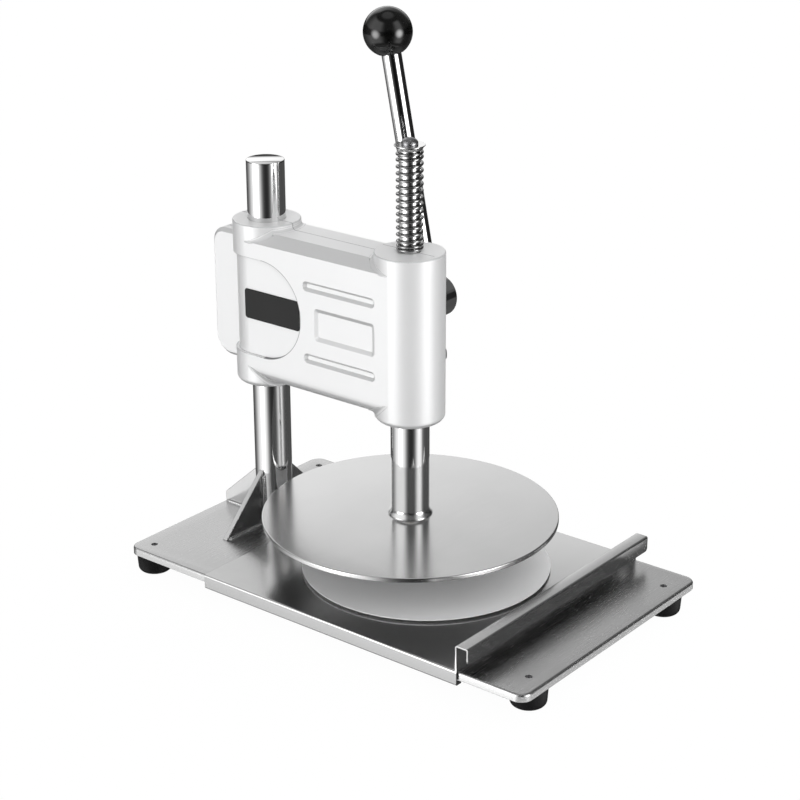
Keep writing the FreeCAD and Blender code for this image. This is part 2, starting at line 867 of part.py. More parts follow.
def press_shaft():
    body = upright(shaft_radius, 0, shaft_front, plate_top, shaft_shoulder)
    flat = shaft_front + rack_line + gear_module
    body = body.cut(box(-shaft_radius, shaft_radius, flat, flat + shaft_radius, rack_bottom,
                        shaft_shoulder))
    first_gap = math.ceil((rack_bottom - lever_axis_up) / tooth_pitch)
    last_gap = round((shaft_shoulder - lever_axis_up) / tooth_pitch)
    body = body.cut(group([rack_gap(number) for number in range(first_gap, last_gap + 1)]))
    body = body.fuse(upright(rod_radius, 0, shaft_front, shaft_shoulder, spring_top))
    body = body.cut(upright(cap_screw_radius, 0, shaft_front, spring_top - cap_screw_length,
                            spring_top))
    for x, y in plate_screw_places():
        body = body.cut(upright(plate_screw_radius, x, y, plate_top,
                                plate_bottom + plate_screw_length))
    return body


# Press plate, foot ring, spring and cap

def plate_screw_places():
    places = []
    for number in range(3):
        angle = math.radians(90 + 120 * number)
        places.append((plate_screw_circle * math.cos(angle),
                       shaft_front + plate_screw_circle * math.sin(angle)))
    return places


def plate_screw(x, y):
    taper = plate_screw_head_radius - plate_screw_radius
    head = Part.makeCone(plate_screw_head_radius, plate_screw_radius, taper,
                         Vector(x, y, plate_bottom))
    shank = upright(plate_screw_radius, x, y, plate_bottom + taper,
                    plate_bottom + plate_screw_length)
    return head.fuse(shank)


def press_plate():
    plate = upright(plate_radius, 0, shaft_front, plate_bottom, plate_top)
    plate = plate.makeChamfer(plate_edge, edges_where(plate, lambda b: b.ZLength < 0.01))
    for x, y in plate_screw_places():
        plate = plate.cut(plate_screw(x, y))
    return plate


def plate_screws():
    screws = []
    for x, y in plate_screw_places():
        recess_low = hexagon(plate_screw_radius, x, y, plate_bottom,
                             plate_bottom + screw_recess_depth)
        screws.append(plate_screw(x, y).cut(recess_low))
    return group(screws)


def foot_ring():
    # A hollow flare between the plate and the shaft, as a weld leaves.
    low = plate_top
    outer = Vector(foot_ring_radius, 0, low + foot_ring_edge)
    upper = Vector(shaft_radius, 0, low + foot_ring_height)
    along = upper - outer
    sideways = Vector(along.z, 0, -along.x).normalize()
    middle = outer + along * 0.5 - sideways * (along.Length * foot_ring_hollow_share)
    lines = [Part.makeLine(Vector(shaft_radius, 0, low), Vector(foot_ring_radius, 0, low)),
             Part.makeLine(Vector(foot_ring_radius, 0, low), outer),
             Part.Arc(outer, middle, upper).toShape(),
             Part.makeLine(upper, Vector(shaft_radius, 0, low))]
    flare = Part.Face(Part.Wire(lines)).revolve(Vector(0, 0, 0), Vector(0, 0, 1), 360)
    return flare.translated(Vector(0, shaft_front, 0))


def spring_cap():
    profile = [(0, spring_top), (cap_bottom_radius, spring_top),
               (cap_top_radius, spring_top + cap_height - cap_rim),
               (cap_top_radius, spring_top + cap_height), (0, spring_top + cap_height)]
    body = turned(profile, 0, shaft_front)
    return body.cut(upright(cap_screw_radius, 0, shaft_front, spring_top,
                            spring_top + cap_height))


def cap_screw():
    seat = spring_top + cap_height
    shank = upright(cap_screw_radius, 0, shaft_front, seat - cap_screw_length, seat)
    head = upright(cap_screw_head_radius, 0, shaft_front, seat, seat + cap_screw_head_height)
    rim = edges_where(head, lambda b: b.ZMin > seat + cap_screw_head_height - 0.01)
    head = head.makeFillet(cap_screw_head_round, rim)
    return shank.fuse(head)


def spring_levels():
    # Heights of the wire's middle at every quarter turn, close wound at both ends.
    low = head_top + spring_wire / 2
    high = spring_top - spring_wire / 2
    close = spring_close_pitch / 4
    open_rise = high - low - spring_close_pitch * (spring_low_count + spring_high_count)
    open_step = open_rise / (4 * spring_open_count)
    steps = [close] * (4 * spring_low_count)
    steps += [open_step] * (4 * spring_open_count)
    steps += [close] * (4 * spring_high_count)
    levels = [low]
    for step in steps:
        levels.append(levels[-1] + step)
    return levels


def spring_nodes():
    levels = spring_levels()
    last = len(levels) - 1
    nodes = []
    for number, level in enumerate(levels):
        angle = number * math.pi / 2 + math.pi / 4
        before = levels[max(number - 1, 0)]
        after = levels[min(number + 1, last)]
        spans = min(number + 1, last) - max(number - 1, 0)
        rise = (after - before) / (spans * spring_mean_radius * math.pi / 2)
        if number in (0, last):
            rise = 0
        place = Vector(spring_mean_radius * math.cos(angle),
                       shaft_front + spring_mean_radius * math.sin(angle), level)
        heading = Vector(-math.sin(angle), math.cos(angle), rise).normalize()
        nodes.append((place, heading))
    return nodes


def tangent_arc(start, heading, end):
    # The middle of the arc that leaves start along heading and passes through end.
    chord = end - start
    straight = chord.Length
    chord.normalize()
    cosine = heading.dot(chord)
    sideways = heading - chord * cosine
    turn = math.acos(max(-1.0, min(1.0, cosine)))
    sideways.normalize()
    middle = (start + end) * 0.5 + sideways * (straight / 2 * math.tan(turn / 2))
    return Part.Arc(start, middle, end).toShape()


def biarc(start, start_heading, end, end_heading):
    span = end - start
    both = start_heading + end_heading
    spread = 2 * (1 - start_heading.dot(end_heading))
    reach = (-span.dot(both) + math.sqrt(span.dot(both) ** 2 + spread * span.dot(span))) / spread
    joint = (start + end + (start_heading - end_heading) * reach) * 0.5
    first = tangent_arc(start, start_heading, joint)
    meeting = (joint - start - start_heading * reach) * (1 / reach)
    return [first, tangent_arc(joint, meeting.normalize(), end)]


def return_spring():
    nodes = spring_nodes()
    start, start_heading = nodes[0]
    end, end_heading = nodes[-1]
    edges = [Part.makeLine(start - start_heading * spring_wire, start)]
    for (place, heading), (next_place, next_heading) in zip(nodes, nodes[1:]):
        edges += biarc(place, heading, next_place, next_heading)
    edges.append(Part.makeLine(end, end + end_heading * spring_wire))
    path = Part.Wire(edges)
    section = Part.Wire(Part.makeCircle(spring_wire / 2, start - start_heading * spring_wire,
                                        start_heading))
    wire = path.makePipeShell([section], True, False)
    least = least_spring_gap(path)
    print("return_spring least gap to itself: %.3f mm" % least)
    return wire


def least_spring_gap(path):
    # Measured on points along the wire's middle line that lie over half a turn apart.
    points = path.discretize(Number=1500)
    skip = int(len(points) * math.pi * spring_mean_radius / path.Length)
    least = path.Length
    for number, point in enumerate(points):
        for other in points[number + skip:number + 4 * skip]:
            least = min(least, point.distanceToPoint(other))
    return least - spring_wire


# Tray

def tray():
    low = base_top - tray_flange
    half = tray_half_width
    sleeve = box(-half, half, tray_front, tray_back, low, tray_top)

    def long_edges(b):
        return b.YLength > 10 and b.XLength < 0.01 and b.ZLength < 0.01
    sleeve = sleeve.makeFillet(tray_bend, edges_where(sleeve, long_edges))
    inside = box(-half + tray_sheet, half - tray_sheet, tray_front, tray_back, low + tray_sheet,
                 base_top)
    inside = inside.makeFillet(tray_bend - tray_sheet, edges_where(inside, long_edges))
    opening = half - tray_lip
    gap = box(-opening, opening, tray_front, tray_back, low, low + tray_sheet)
    sleeve = sleeve.cut(inside).cut(gap)
    body = sleeve.fuse(tray_handle())
    for x, y in disc_rivet_places():
        body = body.cut(upright(disc_rivet_radius, x, y, base_top, tray_top))
    return body


def tray_handle():
    # Up from the sheet, forward over the fingers and down in a short lip.
    wide = tray_half_width - handle_end_inset
    back = tray_front + tray_sheet
    front = back - handle_depth
    top = base_top + handle_height
    lip_low = top - handle_drop
    outline = [(back, base_top), (back, top), (front, top), (front, lip_low),
               (front + tray_sheet, lip_low), (front + tray_sheet, top - tray_sheet),
               (tray_front, top - tray_sheet), (tray_front, base_top)]
    points = [Vector(-wide, y, z) for y, z in outline]
    body = prism(points, Vector(2 * wide, 0, 0))
    outer = edges_where(body, lambda b: b.XLength > wide and b.ZMin > top - 0.01)
    body = body.makeFillet(handle_bend, outer)
    level = top - tray_sheet
    inner = edges_where(body, lambda b: b.XLength > wide and abs(b.ZMin - level) < 0.01
                        and abs(b.ZMax - level) < 0.01)
    body = body.makeFillet(handle_bend - tray_sheet, inner)
    corners = edges_where(body, lambda b: b.XLength < 0.01 and b.ZMax < lip_low + 0.01
                          and b.YMax < tray_front - 1)
    return body.makeFillet(handle_corner, corners)


def disc_rivet_places():
    places = []
    for number in range(3):
        angle = math.radians(30 + 120 * number)
        places.append((disc_shift_right + disc_rivet_circle * math.cos(angle),
                       disc_middle + disc_rivet_circle * math.sin(angle)))
    return places


def tray_disc():
    top = tray_top + disc_thickness
    body = upright(disc_radius, disc_shift_right, disc_middle, tray_top, top)
    body = body.makeChamfer(disc_edge, edges_where(body, lambda b: b.ZMin > top - 0.01))
    for x, y in disc_rivet_places():
        body = body.cut(upright(disc_rivet_radius, x, y, tray_top, tray_top + disc_rivet_depth))
    return body


def disc_rivets():
    return group([upright(disc_rivet_radius, x, y, base_top, tray_top + disc_rivet_depth)
                  for x, y in disc_rivet_places()])


def all_nodes():
    casting = head_casting()
    return {
        "base_plate": base_plate(),
        "base_stiffener": base_stiffener(),
        "rubber_feet": rubber_feet(),
        "foot_screws": foot_screws(),
        "foot_nuts": foot_nuts(),
        "pillar": pillar(),
        "pillar_bolt": pillar_bolt(),
        "pillar_washer": pillar_washer(),
        "gusset_left": side_gusset(-1),
        "gusset_right": side_gusset(1),
        "gusset_rear": gusset_rear(),
        "head_shell_left": head_shell_left(casting),
        "head_shell_right": head_shell_right(casting),
        "label_plate": label_plate(),
        "shell_screws": shell_screws(),
        "dowel_pins": dowel_pins(),
        "clamp_bolts": clamp_bolts(),
        "clamp_washers": clamp_washers(),
        "grease_screw": grease_screw(),
        "lower_guide_bush": lower_guide_bush(),
        "upper_guide_bush": upper_guide_bush(),
        "stop_ring": stop_ring(),
        "crank_bush_left": crank_bush(-blind_bush_end, -inner_boss_face),
        "crank_bush_right": crank_bush(inner_boss_face, outer_boss_face - outer_bush_inset),
        "crank_shaft": crank_shaft(),
        "drive_pinion": drive_pinion(),
        "pinion_key": pinion_key(),
        "thrust_rings": thrust_rings(),
        "thrust_washer": thrust_washer(),
        "lever_hub": lever_hub(),
        "lever_rod": lever_rod(),
        "lever_knob": lever_knob(),
        "press_shaft": press_shaft(),
        "foot_ring": foot_ring(),
        "press_plate": press_plate(),
        "plate_screws": plate_screws(),
        "return_spring": return_spring(),
        "spring_cap": spring_cap(),
        "cap_screw": cap_screw(),
        "tray": tray(),
        "tray_disc": tray_disc(),
        "disc_rivets": disc_rivets(),
    }


os.makedirs("parts", exist_ok=True)
for name, shape in all_nodes().items():
    shape.exportStep("parts/" + name + ".step")
    print("%-18s solids %d  valid %s  volume %.0f" % (
        name, len(shape.Solids), shape.isValid(), shape.Volume))
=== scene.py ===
import json
import math

import bmesh
import bpy
import numpy as np
from mathutils import Matrix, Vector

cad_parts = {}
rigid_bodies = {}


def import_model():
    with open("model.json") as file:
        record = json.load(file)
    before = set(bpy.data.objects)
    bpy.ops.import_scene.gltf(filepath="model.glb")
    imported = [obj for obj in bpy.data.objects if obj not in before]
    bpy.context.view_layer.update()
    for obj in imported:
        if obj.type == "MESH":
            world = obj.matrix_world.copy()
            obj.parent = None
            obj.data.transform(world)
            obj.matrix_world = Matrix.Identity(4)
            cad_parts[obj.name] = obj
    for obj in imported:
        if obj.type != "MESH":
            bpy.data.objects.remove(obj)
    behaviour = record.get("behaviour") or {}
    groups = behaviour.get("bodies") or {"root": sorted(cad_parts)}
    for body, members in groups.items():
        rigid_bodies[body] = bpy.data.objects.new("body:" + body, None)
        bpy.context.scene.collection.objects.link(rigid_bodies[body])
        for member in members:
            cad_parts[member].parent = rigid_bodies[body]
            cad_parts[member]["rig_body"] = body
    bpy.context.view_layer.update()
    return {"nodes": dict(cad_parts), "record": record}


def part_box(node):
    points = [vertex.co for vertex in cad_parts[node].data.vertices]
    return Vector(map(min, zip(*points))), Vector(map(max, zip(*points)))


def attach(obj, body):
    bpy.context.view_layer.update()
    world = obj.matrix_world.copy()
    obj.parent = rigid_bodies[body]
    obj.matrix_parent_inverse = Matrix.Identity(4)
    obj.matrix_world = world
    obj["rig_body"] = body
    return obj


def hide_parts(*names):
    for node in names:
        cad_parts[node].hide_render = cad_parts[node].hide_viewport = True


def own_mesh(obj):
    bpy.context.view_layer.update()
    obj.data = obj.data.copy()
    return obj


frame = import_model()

nodes = frame["nodes"]
scene = bpy.context.scene
slotOf = {entry["node"]: entry["material_slot"] for entry in frame["record"]["subparts"]}
print("frame loaded:", len(nodes), "nodes")


# Shader sockets written as numbers

class Wire:  # an output socket that takes part in plain arithmetic
    def __init__(self, tree, socket=None):
        self.tree = tree
        self.socket = socket

    def node(self, kind, settings=None, inputs=None, output=0):
        made = self.tree.nodes.new(kind)
        for name, value in (settings or {}).items():
            if name == "stops":
                ramp = made.color_ramp
                while len(ramp.elements) < len(value):
                    ramp.elements.new(1.0)
                for element, (place, grey) in zip(ramp.elements, value):
                    element.position = place
                    element.color = (grey, grey, grey, 1.0)
            else:
                setattr(made, name, value)
        for name, value in (inputs or {}).items():
            if isinstance(value, Wire):
                self.tree.links.new(value.socket, made.inputs[name])
            else:
                made.inputs[name].default_value = value
        return Wire(self.tree, made.outputs[output])

    def maths(self, operation, first, second=0.0):
        return self.node("ShaderNodeMath", {"operation": operation}, {0: first, 1: second})

    def __add__(self, other):
        return self.maths("ADD", self, other)

    def __sub__(self, other):
        return self.maths("SUBTRACT", self, other)

    def __rsub__(self, other):
        return self.maths("SUBTRACT", other, self)

    def __mul__(self, other):
        return self.maths("MULTIPLY", self, other)

    def __truediv__(self, other):
        return self.maths("DIVIDE", self, other)

    def __pow__(self, other):
        return self.maths("POWER", self, other)

    def square(self):
        return self.maths("MULTIPLY", self, self)

    def unsigned(self):
        return self.maths("ABSOLUTE", self)

    def least(self, other):
        return self.maths("MINIMUM", self, other)

    def most(self, other):
        return self.maths("MAXIMUM", self, other)

    __radd__ = __add__
    __rmul__ = __mul__

    def step(self, low, high):  # 0 below low, 1 above high, smooth between
        return self.node("ShaderNodeMapRange", {"interpolation_type": "SMOOTHSTEP"},
                         {"Value": self, "From Min": low, "From Max": high, "To Min": 0.0, "To Max": 1.0})

    def between(self, low, high, soft):  # 1 between low and high, with soft sides
        return self.step(low - soft, low + soft) * (1.0 - self.step(high - soft, high + soft))

    def toward(self, other, share):  # this value where share is 0, the other where it is 1
        return self + (other - self) * share

    def part(self, letter):  # one of a vector's three parts
        return self.node("ShaderNodeSeparateXYZ", inputs={"Vector": self}, output=letter)


def newFinish(name, shader):
    made = bpy.data.materials.new(name)
    made.use_nodes = True
    principled = made.node_tree.nodes["Principled BSDF"]
    for socket, value in shader.items():
        principled.inputs[socket].default_value = value
    start = Wire(made.node_tree)
    place = start.node("ShaderNodeTexCoord", output="Object")
    place.feed = lambda socket, value: made.node_tree.links.new(value.socket, principled.inputs[socket])
    return made, place


def noise(place, scale, detail=3.0, roughness=0.5, stretch=(1, 1, 1)):
    spread = place.node("ShaderNodeMapping", inputs={"Vector": place, "Scale": stretch})
    return place.node("ShaderNodeTexNoise", inputs={"Vector": spread, "Scale": scale, "Detail": detail,
                                                    "Roughness": roughness})


def shade(place, share, first, second):  # a colour between two, by the share; each is a colour or a wire
    first, second = [colour if isinstance(colour, Wire) else (*colour, 1.0) for colour in (first, second)]
    return place.node("ShaderNodeMix", {"data_type": "RGBA"}, {"Factor": share, "A": first, "B": second},
                      output="Result")


def bump(place, height, strength, distance, rounded=0.0, plain=None):
    # Small height changes on the surface, whose edges look rounded except where plain.
    inputs = {"Height": height, "Strength": strength, "Distance": distance}
    if rounded:
        inputs["Normal"] = place.node("ShaderNodeBevel", {"samples": 6}, {"Radius": rounded})
    if plain:
        flat = place.node("ShaderNodeNewGeometry", output="Normal")
        inputs["Normal"] = place.node("ShaderNodeMix", {"data_type": "VECTOR"},
                                      {0: plain, 4: inputs["Normal"], 5: flat}, output=1)
    return place.node("ShaderNodeBump", inputs=inputs)


# Finishes, one for each material slot

finishes = {}

steels = {
    "pillar_chrome": {"light": (0.80, 0.80, 0.80), "dark": (0.76, 0.76, 0.76), "rough": 0.05, "uneven": 0.012,
                      "grain": (1, 1, 14), "depth": 0.002},
    "shaft_chrome": {"light": (0.80, 0.80, 0.80), "dark": (0.76, 0.76, 0.76), "rough": 0.05, "uneven": 0.012,
                     "grain": (1, 1, 14), "depth": 0.002},
    "spring_steel": {"light": (0.78, 0.78, 0.78), "dark": (0.74, 0.74, 0.74), "rough": 0.13, "uneven": 0.015,
                     "grain": (1, 1, 3), "depth": 0.004, "paintedShadeBelow": (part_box("spring_cap")[0][2], 0.36)},
    "base_steel": {"light": (0.59, 0.59, 0.59), "dark": (0.55, 0.55, 0.55), "rough": 0.27, "uneven": 0.03,
                   "grain": (0.03, 1, 1), "depth": 0.005, "paintedShadeBelow": (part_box("base_plate")[1][2] - 0.0009, 0.6)},
    "tray_steel": {"light": (0.70, 0.70, 0.70), "dark": (0.66, 0.66, 0.66), "rough": 0.19, "uneven": 0.03,
                   "grain": (1, 0.03, 1), "depth": 0.015, "paintedShadeBelow": (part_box("base_plate")[1][2] - 0.0003, 0.5)},
    "press_steel": {"light": (0.77, 0.77, 0.77), "dark": (0.73, 0.73, 0.73), "rough": 0.19, "uneven": 0.03,
                    "grain": (0.03, 1, 1), "depth": 0.015, "paintedShadeBelow": (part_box("press_plate")[0][2] + 0.0003, 0.34)},
    "gusset_steel": {"light": (0.68, 0.68, 0.68), "dark": (0.60, 0.60, 0.60), "rough": 0.17, "uneven": 0.05,
                     "grain": (1, 1, 0.05), "depth": 0.02},
    "screw_steel": {"light": (0.40, 0.40, 0.41), "dark": (0.30, 0.30, 0.31), "rough": 0.36, "uneven": 0.08,
                    "grain": (1, 1, 1), "depth": 0.04},
    "gear_steel": {"light": (0.50, 0.50, 0.51), "dark": (0.36, 0.36, 0.37), "rough": 0.32, "uneven": 0.1,
                   "grain": (1, 1, 1), "depth": 0.06},
    "bush_bronze": {"light": (0.74, 0.52, 0.26), "dark": (0.55, 0.36, 0.17), "rough": 0.27, "uneven": 0.08,
                    "grain": (1, 1, 4), "depth": 0.04},
}
polish = {"cloud": 18.0, "fibre": 1400.0, "fibreRough": 0.6, "cloudShare": 0.6, "contrast": (0.3, 0.7),
          "border": 0.0001, "relief": 0.0001, "edge": 0.0004}
for name, look in steels.items():
    made, place = newFinish(name, {"Metallic": 1.0})
    cloud = noise(place, polish["cloud"])  # broad, soft differences from polishing
    # fine lines along the rolling direction
    fibre = noise(place, polish["fibre"], roughness=polish["fibreRough"], stretch=look["grain"])
    mixed = (cloud * polish["cloudShare"] + fibre * (1 - polish["cloudShare"])).step(*polish["contrast"])
    metal = shade(place, mixed, look["dark"], look["light"])
    if "paintedShadeBelow" in look:  # painted shade below a height: darker on the press plate's underside, the tray's turned down edges and the spring wire, a little lighter on the base sheet's edges
        border, grey = look["paintedShadeBelow"]
        lower = 1.0 - place.part("Z").step(border - polish["border"], border + polish["border"])
        metal = shade(place, lower, metal, (grey, grey, grey))
    place.feed("Base Color", metal)
    place.feed("Roughness", look["rough"] + (cloud - 0.5) * look["uneven"] + (fibre - 0.5) * look["uneven"])
    place.feed("Normal", bump(place, fibre, look["depth"], polish["relief"], polish["edge"]))
    finishes[name] = made

paint = {"colour": (0.865, 0.867, 0.87), "worn": (0.84, 0.842, 0.845), "rough": 0.45, "roughShare": 0.06,
         "broad": 14.0, "peel": 420.0, "peelDepth": 0.03, "relief": 0.0002, "edge": 0.0006,
         "seam": (0.22, 0.22, 0.225), "seamSides": (0.000132, 0.000352), "filled": (-0.0266, -0.0258),
         "filledSides": (0.0008, 0.0013), "arc": (0.1285, 0.2206), "arcReach": (0.0411, 0.0419),
         "arcSoft": 0.0002, "arcFace": (-0.0250, -0.0240), "arcEnd": 0.001, "arcShade": (0.22, 0.222, 0.225),
         # slope is the colour of the painted shade on the slopes and rounds
         "slope": (0.67, 0.672, 0.675), "slopeLow": (0.15, 0.35), "slopeHigh": (0.86, 0.97),
         # line is the colour of the painted shade along the edges and corners
         "line": (0.26, 0.262, 0.265), "lineRadius": 0.0010, "lineTurn": (0.02, 0.2), "lineShare": 0.85}
made, place = newFinish("white_paint", {"Metallic": 0.25})
peel = noise(place, paint["peel"], 2.0)  # the faint orange peel of sprayed enamel
side, depth, height = place.part("X"), place.part("Y"), place.part("Z")
flat = place.node("ShaderNodeNewGeometry", output="Normal")
coat = shade(place, noise(place, paint["broad"], 2.0), paint["colour"], paint["worn"])
arcY, arcZ = paint["arc"]
reach = ((depth - arcY).square() + (height - arcZ).square()) ** 0.5
recessShade = reach.between(*paint["arcReach"], paint["arcSoft"])
recessShade = recessShade * (1.0 - side.step(*paint["arcFace"])) * (1.0 - depth.step(arcY - paint["arcEnd"], arcY))
coat = shade(place, recessShade, coat, paint["arcShade"])  # painted shade at the foot of the recess's rounded edge
tilt = flat.part("Z").unsigned()
slopeShade = tilt.step(*paint["slopeLow"]) * (1.0 - tilt.step(*paint["slopeHigh"]))
coat = shade(place, slopeShade, coat, paint["slope"])  # painted shade on the slopes and rounds
behindFront = depth.step(*paint["filled"])  # the joint of the halves is filled and rubbed down at the front
filled = (1.0 - side.unsigned().step(*paint["filledSides"])) * (1.0 - behindFront)
rounded = place.node("ShaderNodeBevel", {"samples": 6}, {"Radius": paint["lineRadius"]})
turn = 1.0 - place.node("ShaderNodeVectorMath", {"operation": "DOT_PRODUCT"}, {0: rounded, 1: flat}, output="Value")
edgeShade = turn.step(*paint["lineTurn"]) * (1.0 - filled) * paint["lineShare"]
coat = shade(place, edgeShade, coat, paint["line"])  # painted shade along every edge and corner of the casting
seam = (1.0 - side.unsigned().step(*paint["seamSides"])) * behindFront
place.feed("Base Color", shade(place, seam, coat, paint["seam"]))
place.feed("Roughness", paint["rough"] + (peel - 0.5) * paint["roughShare"])
place.feed("Normal", bump(place, peel, paint["peelDepth"], paint["relief"], paint["edge"], filled))
finishes["white_paint"] = made

satin = {"colour": (0.99, 0.992, 0.995), "dark": (0.95, 0.952, 0.955), "rough": 0.5, "roughShare": 0.1,
         "blast": 2600.0, "broad": 20.0, "broadShare": 0.6, "depth": 0.03, "relief": 0.0001}
made, place = newFinish("disc_steel", {"Metallic": 0.0})
blast = noise(place, satin["blast"], 2.0)  # the even, matt surface left by blasting
mixed = noise(place, satin["broad"], 2.0) * satin["broadShare"] + blast * (1 - satin["broadShare"])
place.feed("Base Color", shade(place, mixed, satin["dark"], satin["colour"]))
place.feed("Roughness", satin["rough"] + (blast - 0.5) * satin["roughShare"])
place.feed("Normal", bump(place, blast, satin["depth"], satin["relief"]))
finishes["disc_steel"] = made

plastics = {
    "label_black": {"light": (0.011, 0.011, 0.011), "dark": (0.008, 0.008, 0.008), "rough": 0.55, "uneven": 0.08,
                    "coat": 0.0, "size": 1400.0, "depth": 0.05, "specular": 0.28},
    "knob_black": {"light": (0.004, 0.004, 0.0036), "dark": (0.002, 0.002, 0.002), "rough": 0.11, "uneven": 0.03,
                   "coat": 0.4, "size": 160.0, "depth": 0.012},
    "black_rubber": {"light": (0.010, 0.010, 0.0105), "dark": (0.006, 0.006, 0.006), "rough": 0.42, "uneven": 0.14,
                     "coat": 0.0, "size": 1100.0, "depth": 0.16, "specular": 0.15},
    "stop_rubber": {"light": (0.05, 0.05, 0.05), "dark": (0.03, 0.03, 0.03), "rough": 0.55, "uneven": 0.15,
                    "coat": 0.0, "size": 1100.0, "depth": 0.15},
    "washer_nylon": {"light": (0.85, 0.85, 0.82), "dark": (0.78, 0.78, 0.74), "rough": 0.45, "uneven": 0.1,
                     "coat": 0.0, "size": 500.0, "depth": 0.05},
}
moulding = {"patch": 45.0, "grainShare": 0.05, "relief": 0.0003, "coatRough": 0.08, "specular": 0.5}
for name, look in plastics.items():
    made, place = newFinish(name, {"Coat Weight": look["coat"], "Coat Roughness": moulding["coatRough"],
                                   "Specular IOR Level": look.get("specular", moulding["specular"])})
    grain = noise(place, look["size"])
    patch = noise(place, moulding["patch"])
    place.feed("Base Color", shade(place, patch, look["dark"], look["light"]))
    place.feed("Roughness", look["rough"] + (patch - 0.5) * look["uneven"] + (grain - 0.5) * moulding["grainShare"])
    place.feed("Normal", bump(place, grain, look["depth"], moulding["relief"]))
    finishes[name] = made
print("finishes made:", len(finishes))


# Meshes from arrays

def placePiece(name, mesh, slot, body, replaced=()):
    piece = bpy.data.objects.new(name, mesh)
    scene.collection.objects.link(piece)
    mesh.materials.clear()
    mesh.materials.append(finishes[slot])
    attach(piece, body)
    if replaced:
        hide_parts(*replaced)
    return piece


def smooth(mesh, angle):
    mesh.polygons.foreach_set("use_smooth", np.ones(len(mesh.polygons), bool))
    mesh.set_sharp_from_angle(angle=math.radians(angle))
    mesh.update()


def bodyOf(node):
    return nodes[node]["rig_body"]


def gridFaces(rows, columns, closeRows=False):  # quads between neighbouring rows, the columns run in a ring
    number = np.arange(rows * columns).reshape(rows, columns)
    ahead = np.roll(number, -1, 1)
    if closeRows:
        lower, lowerAhead = np.roll(number, -1, 0), np.roll(ahead, -1, 0)
    else:
        number, ahead, lower, lowerAhead = number[:-1], ahead[:-1], number[1:], ahead[1:]
    return np.stack([number, ahead, lowerAhead, lower], -1).reshape(-1, 4)


joining = {"merge": 1e-7, "sliver": 1e-8}  # in metres


def gridPiece(name, grids, slot, body, replaced=(), closeRows=False, angle=35):
    # Each grid is rows x columns x 3: its columns close into rings, its ends close on a point or a flat face.
    built = bmesh.new()
    for grid in grids:
        rows, columns = grid.shape[:2]
        part = bpy.data.meshes.new("part")
        faces = gridFaces(rows, columns, closeRows)
        part.from_pydata(grid.reshape(-1, 3).tolist(), [], faces.tolist())
        built.from_mesh(part)
        bpy.data.meshes.remove(part)
    bmesh.ops.remove_doubles(built, verts=built.verts, dist=joining["merge"])
    bmesh.ops.dissolve_degenerate(built, edges=built.edges, dist=joining["sliver"])
    rims = [edge for edge in built.edges if edge.is_boundary]
    if rims:
        bmesh.ops.holes_fill(built, edges=rims, sides=0)
    bmesh.ops.recalc_face_normals(built, faces=built.faces)
    mesh = bpy.data.meshes.new(name)
    built.to_mesh(mesh)
    built.free()
    smooth(mesh, angle)
    return placePiece(name, mesh, slot, body, replaced)


def turned(profile, centre, axis=(0, 0, 1), segments=96):
    # A profile of radius and distance pairs carried round an axis: centre + axis*distance + radius*(cos, sin).
    along = np.array(axis, float) / np.linalg.norm(axis)
    first = np.cross(along, (0, 1, 0) if abs(along[1]) < 0.9 else (1, 0, 0))
    first /= np.linalg.norm(first)
    second = np.cross(along, first)
    pairs = np.array(profile, float)
    turn = np.linspace(0, 2 * math.pi, segments, endpoint=False)
    around = np.cos(turn)[:, None] * first + np.sin(turn)[:, None] * second
    return np.array(centre) + pairs[:, 1, None, None] * along + pairs[:, 0, None, None] * around[None]


def arcPairs(centre, radius, start, end, steps):  # points of an arc in the profile's plane, in degrees
    angle = np.radians(np.linspace(start, end, steps))
    return list(zip(centre[0] + radius * np.cos(angle), centre[1] + radius * np.sin(angle)))


def tube(path, radius, sides):
    # A ring of the given radius carried along a path: ring = path + radius*(sideways cos + upward sin).
    step = np.gradient(path, axis=0)
    step /= np.linalg.norm(step, axis=1, keepdims=True)
    # the guide is a direction that the path never runs along
    guide = np.array([0.0, 0.0, 1.0]) if abs(step[:, 2]).max() < 0.8 else np.array([0.31, 0.95, 0.05])
    sideways = np.cross(step, guide)
    sideways /= np.linalg.norm(sideways, axis=1, keepdims=True)
    upward = np.cross(sideways, step)
    turn = np.linspace(0, 2 * math.pi, sides, endpoint=False)
    width = np.broadcast_to(np.asarray(radius, float), (len(path),))[:, None, None]
    return (path[:, None] + width * (np.cos(turn)[None, :, None] * sideways[:, None]
                                     + np.sin(turn)[None, :, None] * upward[:, None]))


rounding = {"merge": 2e-6, "flat": 0.2, "smooth": 18, "sharp": 32, "segments": 2}  # angles in degrees


def dressed(node, edge):
    # A merged copy of a CAD node with its sharp edges rounded by the edge width.
    source = nodes[node].data
    mesh = bpy.data.meshes.new(node + "_finished")
    points = np.empty(len(source.vertices) * 3, np.float32)
    source.vertices.foreach_get("co", points)
    corners = np.empty(len(source.loops), np.int32)
    source.loops.foreach_get("vertex_index", corners)
    mesh.from_pydata(points.reshape(-1, 3).tolist(), [], corners.reshape(-1, 3).tolist())
    built = bmesh.new()
    built.from_mesh(mesh)
    bmesh.ops.remove_doubles(built, verts=built.verts, dist=rounding["merge"])
    bmesh.ops.dissolve_limit(built, angle_limit=math.radians(rounding["flat"]), verts=built.verts, edges=built.edges)
    built.to_mesh(mesh)
    built.free()
    smooth(mesh, rounding["smooth"])
    piece = placePiece(mesh.name, mesh, slotOf[node], bodyOf(node), [node])
    if edge:
        bevel = piece.modifiers.new("rounded edges", "BEVEL")
        bevel.width = edge
        bevel.segments = rounding["segments"]
        bevel.limit_method = "ANGLE"
        bevel.angle_limit = math.radians(rounding["sharp"])
        bevel.harden_normals = True
        bevel.miter_outer = "MITER_ARC"
    return piece


# Places read from the frame

def span(node):
    low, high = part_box(node)
    return np.array(low), np.array(high)


def middle(node):
    low, high = span(node)
    return (low + high) / 2


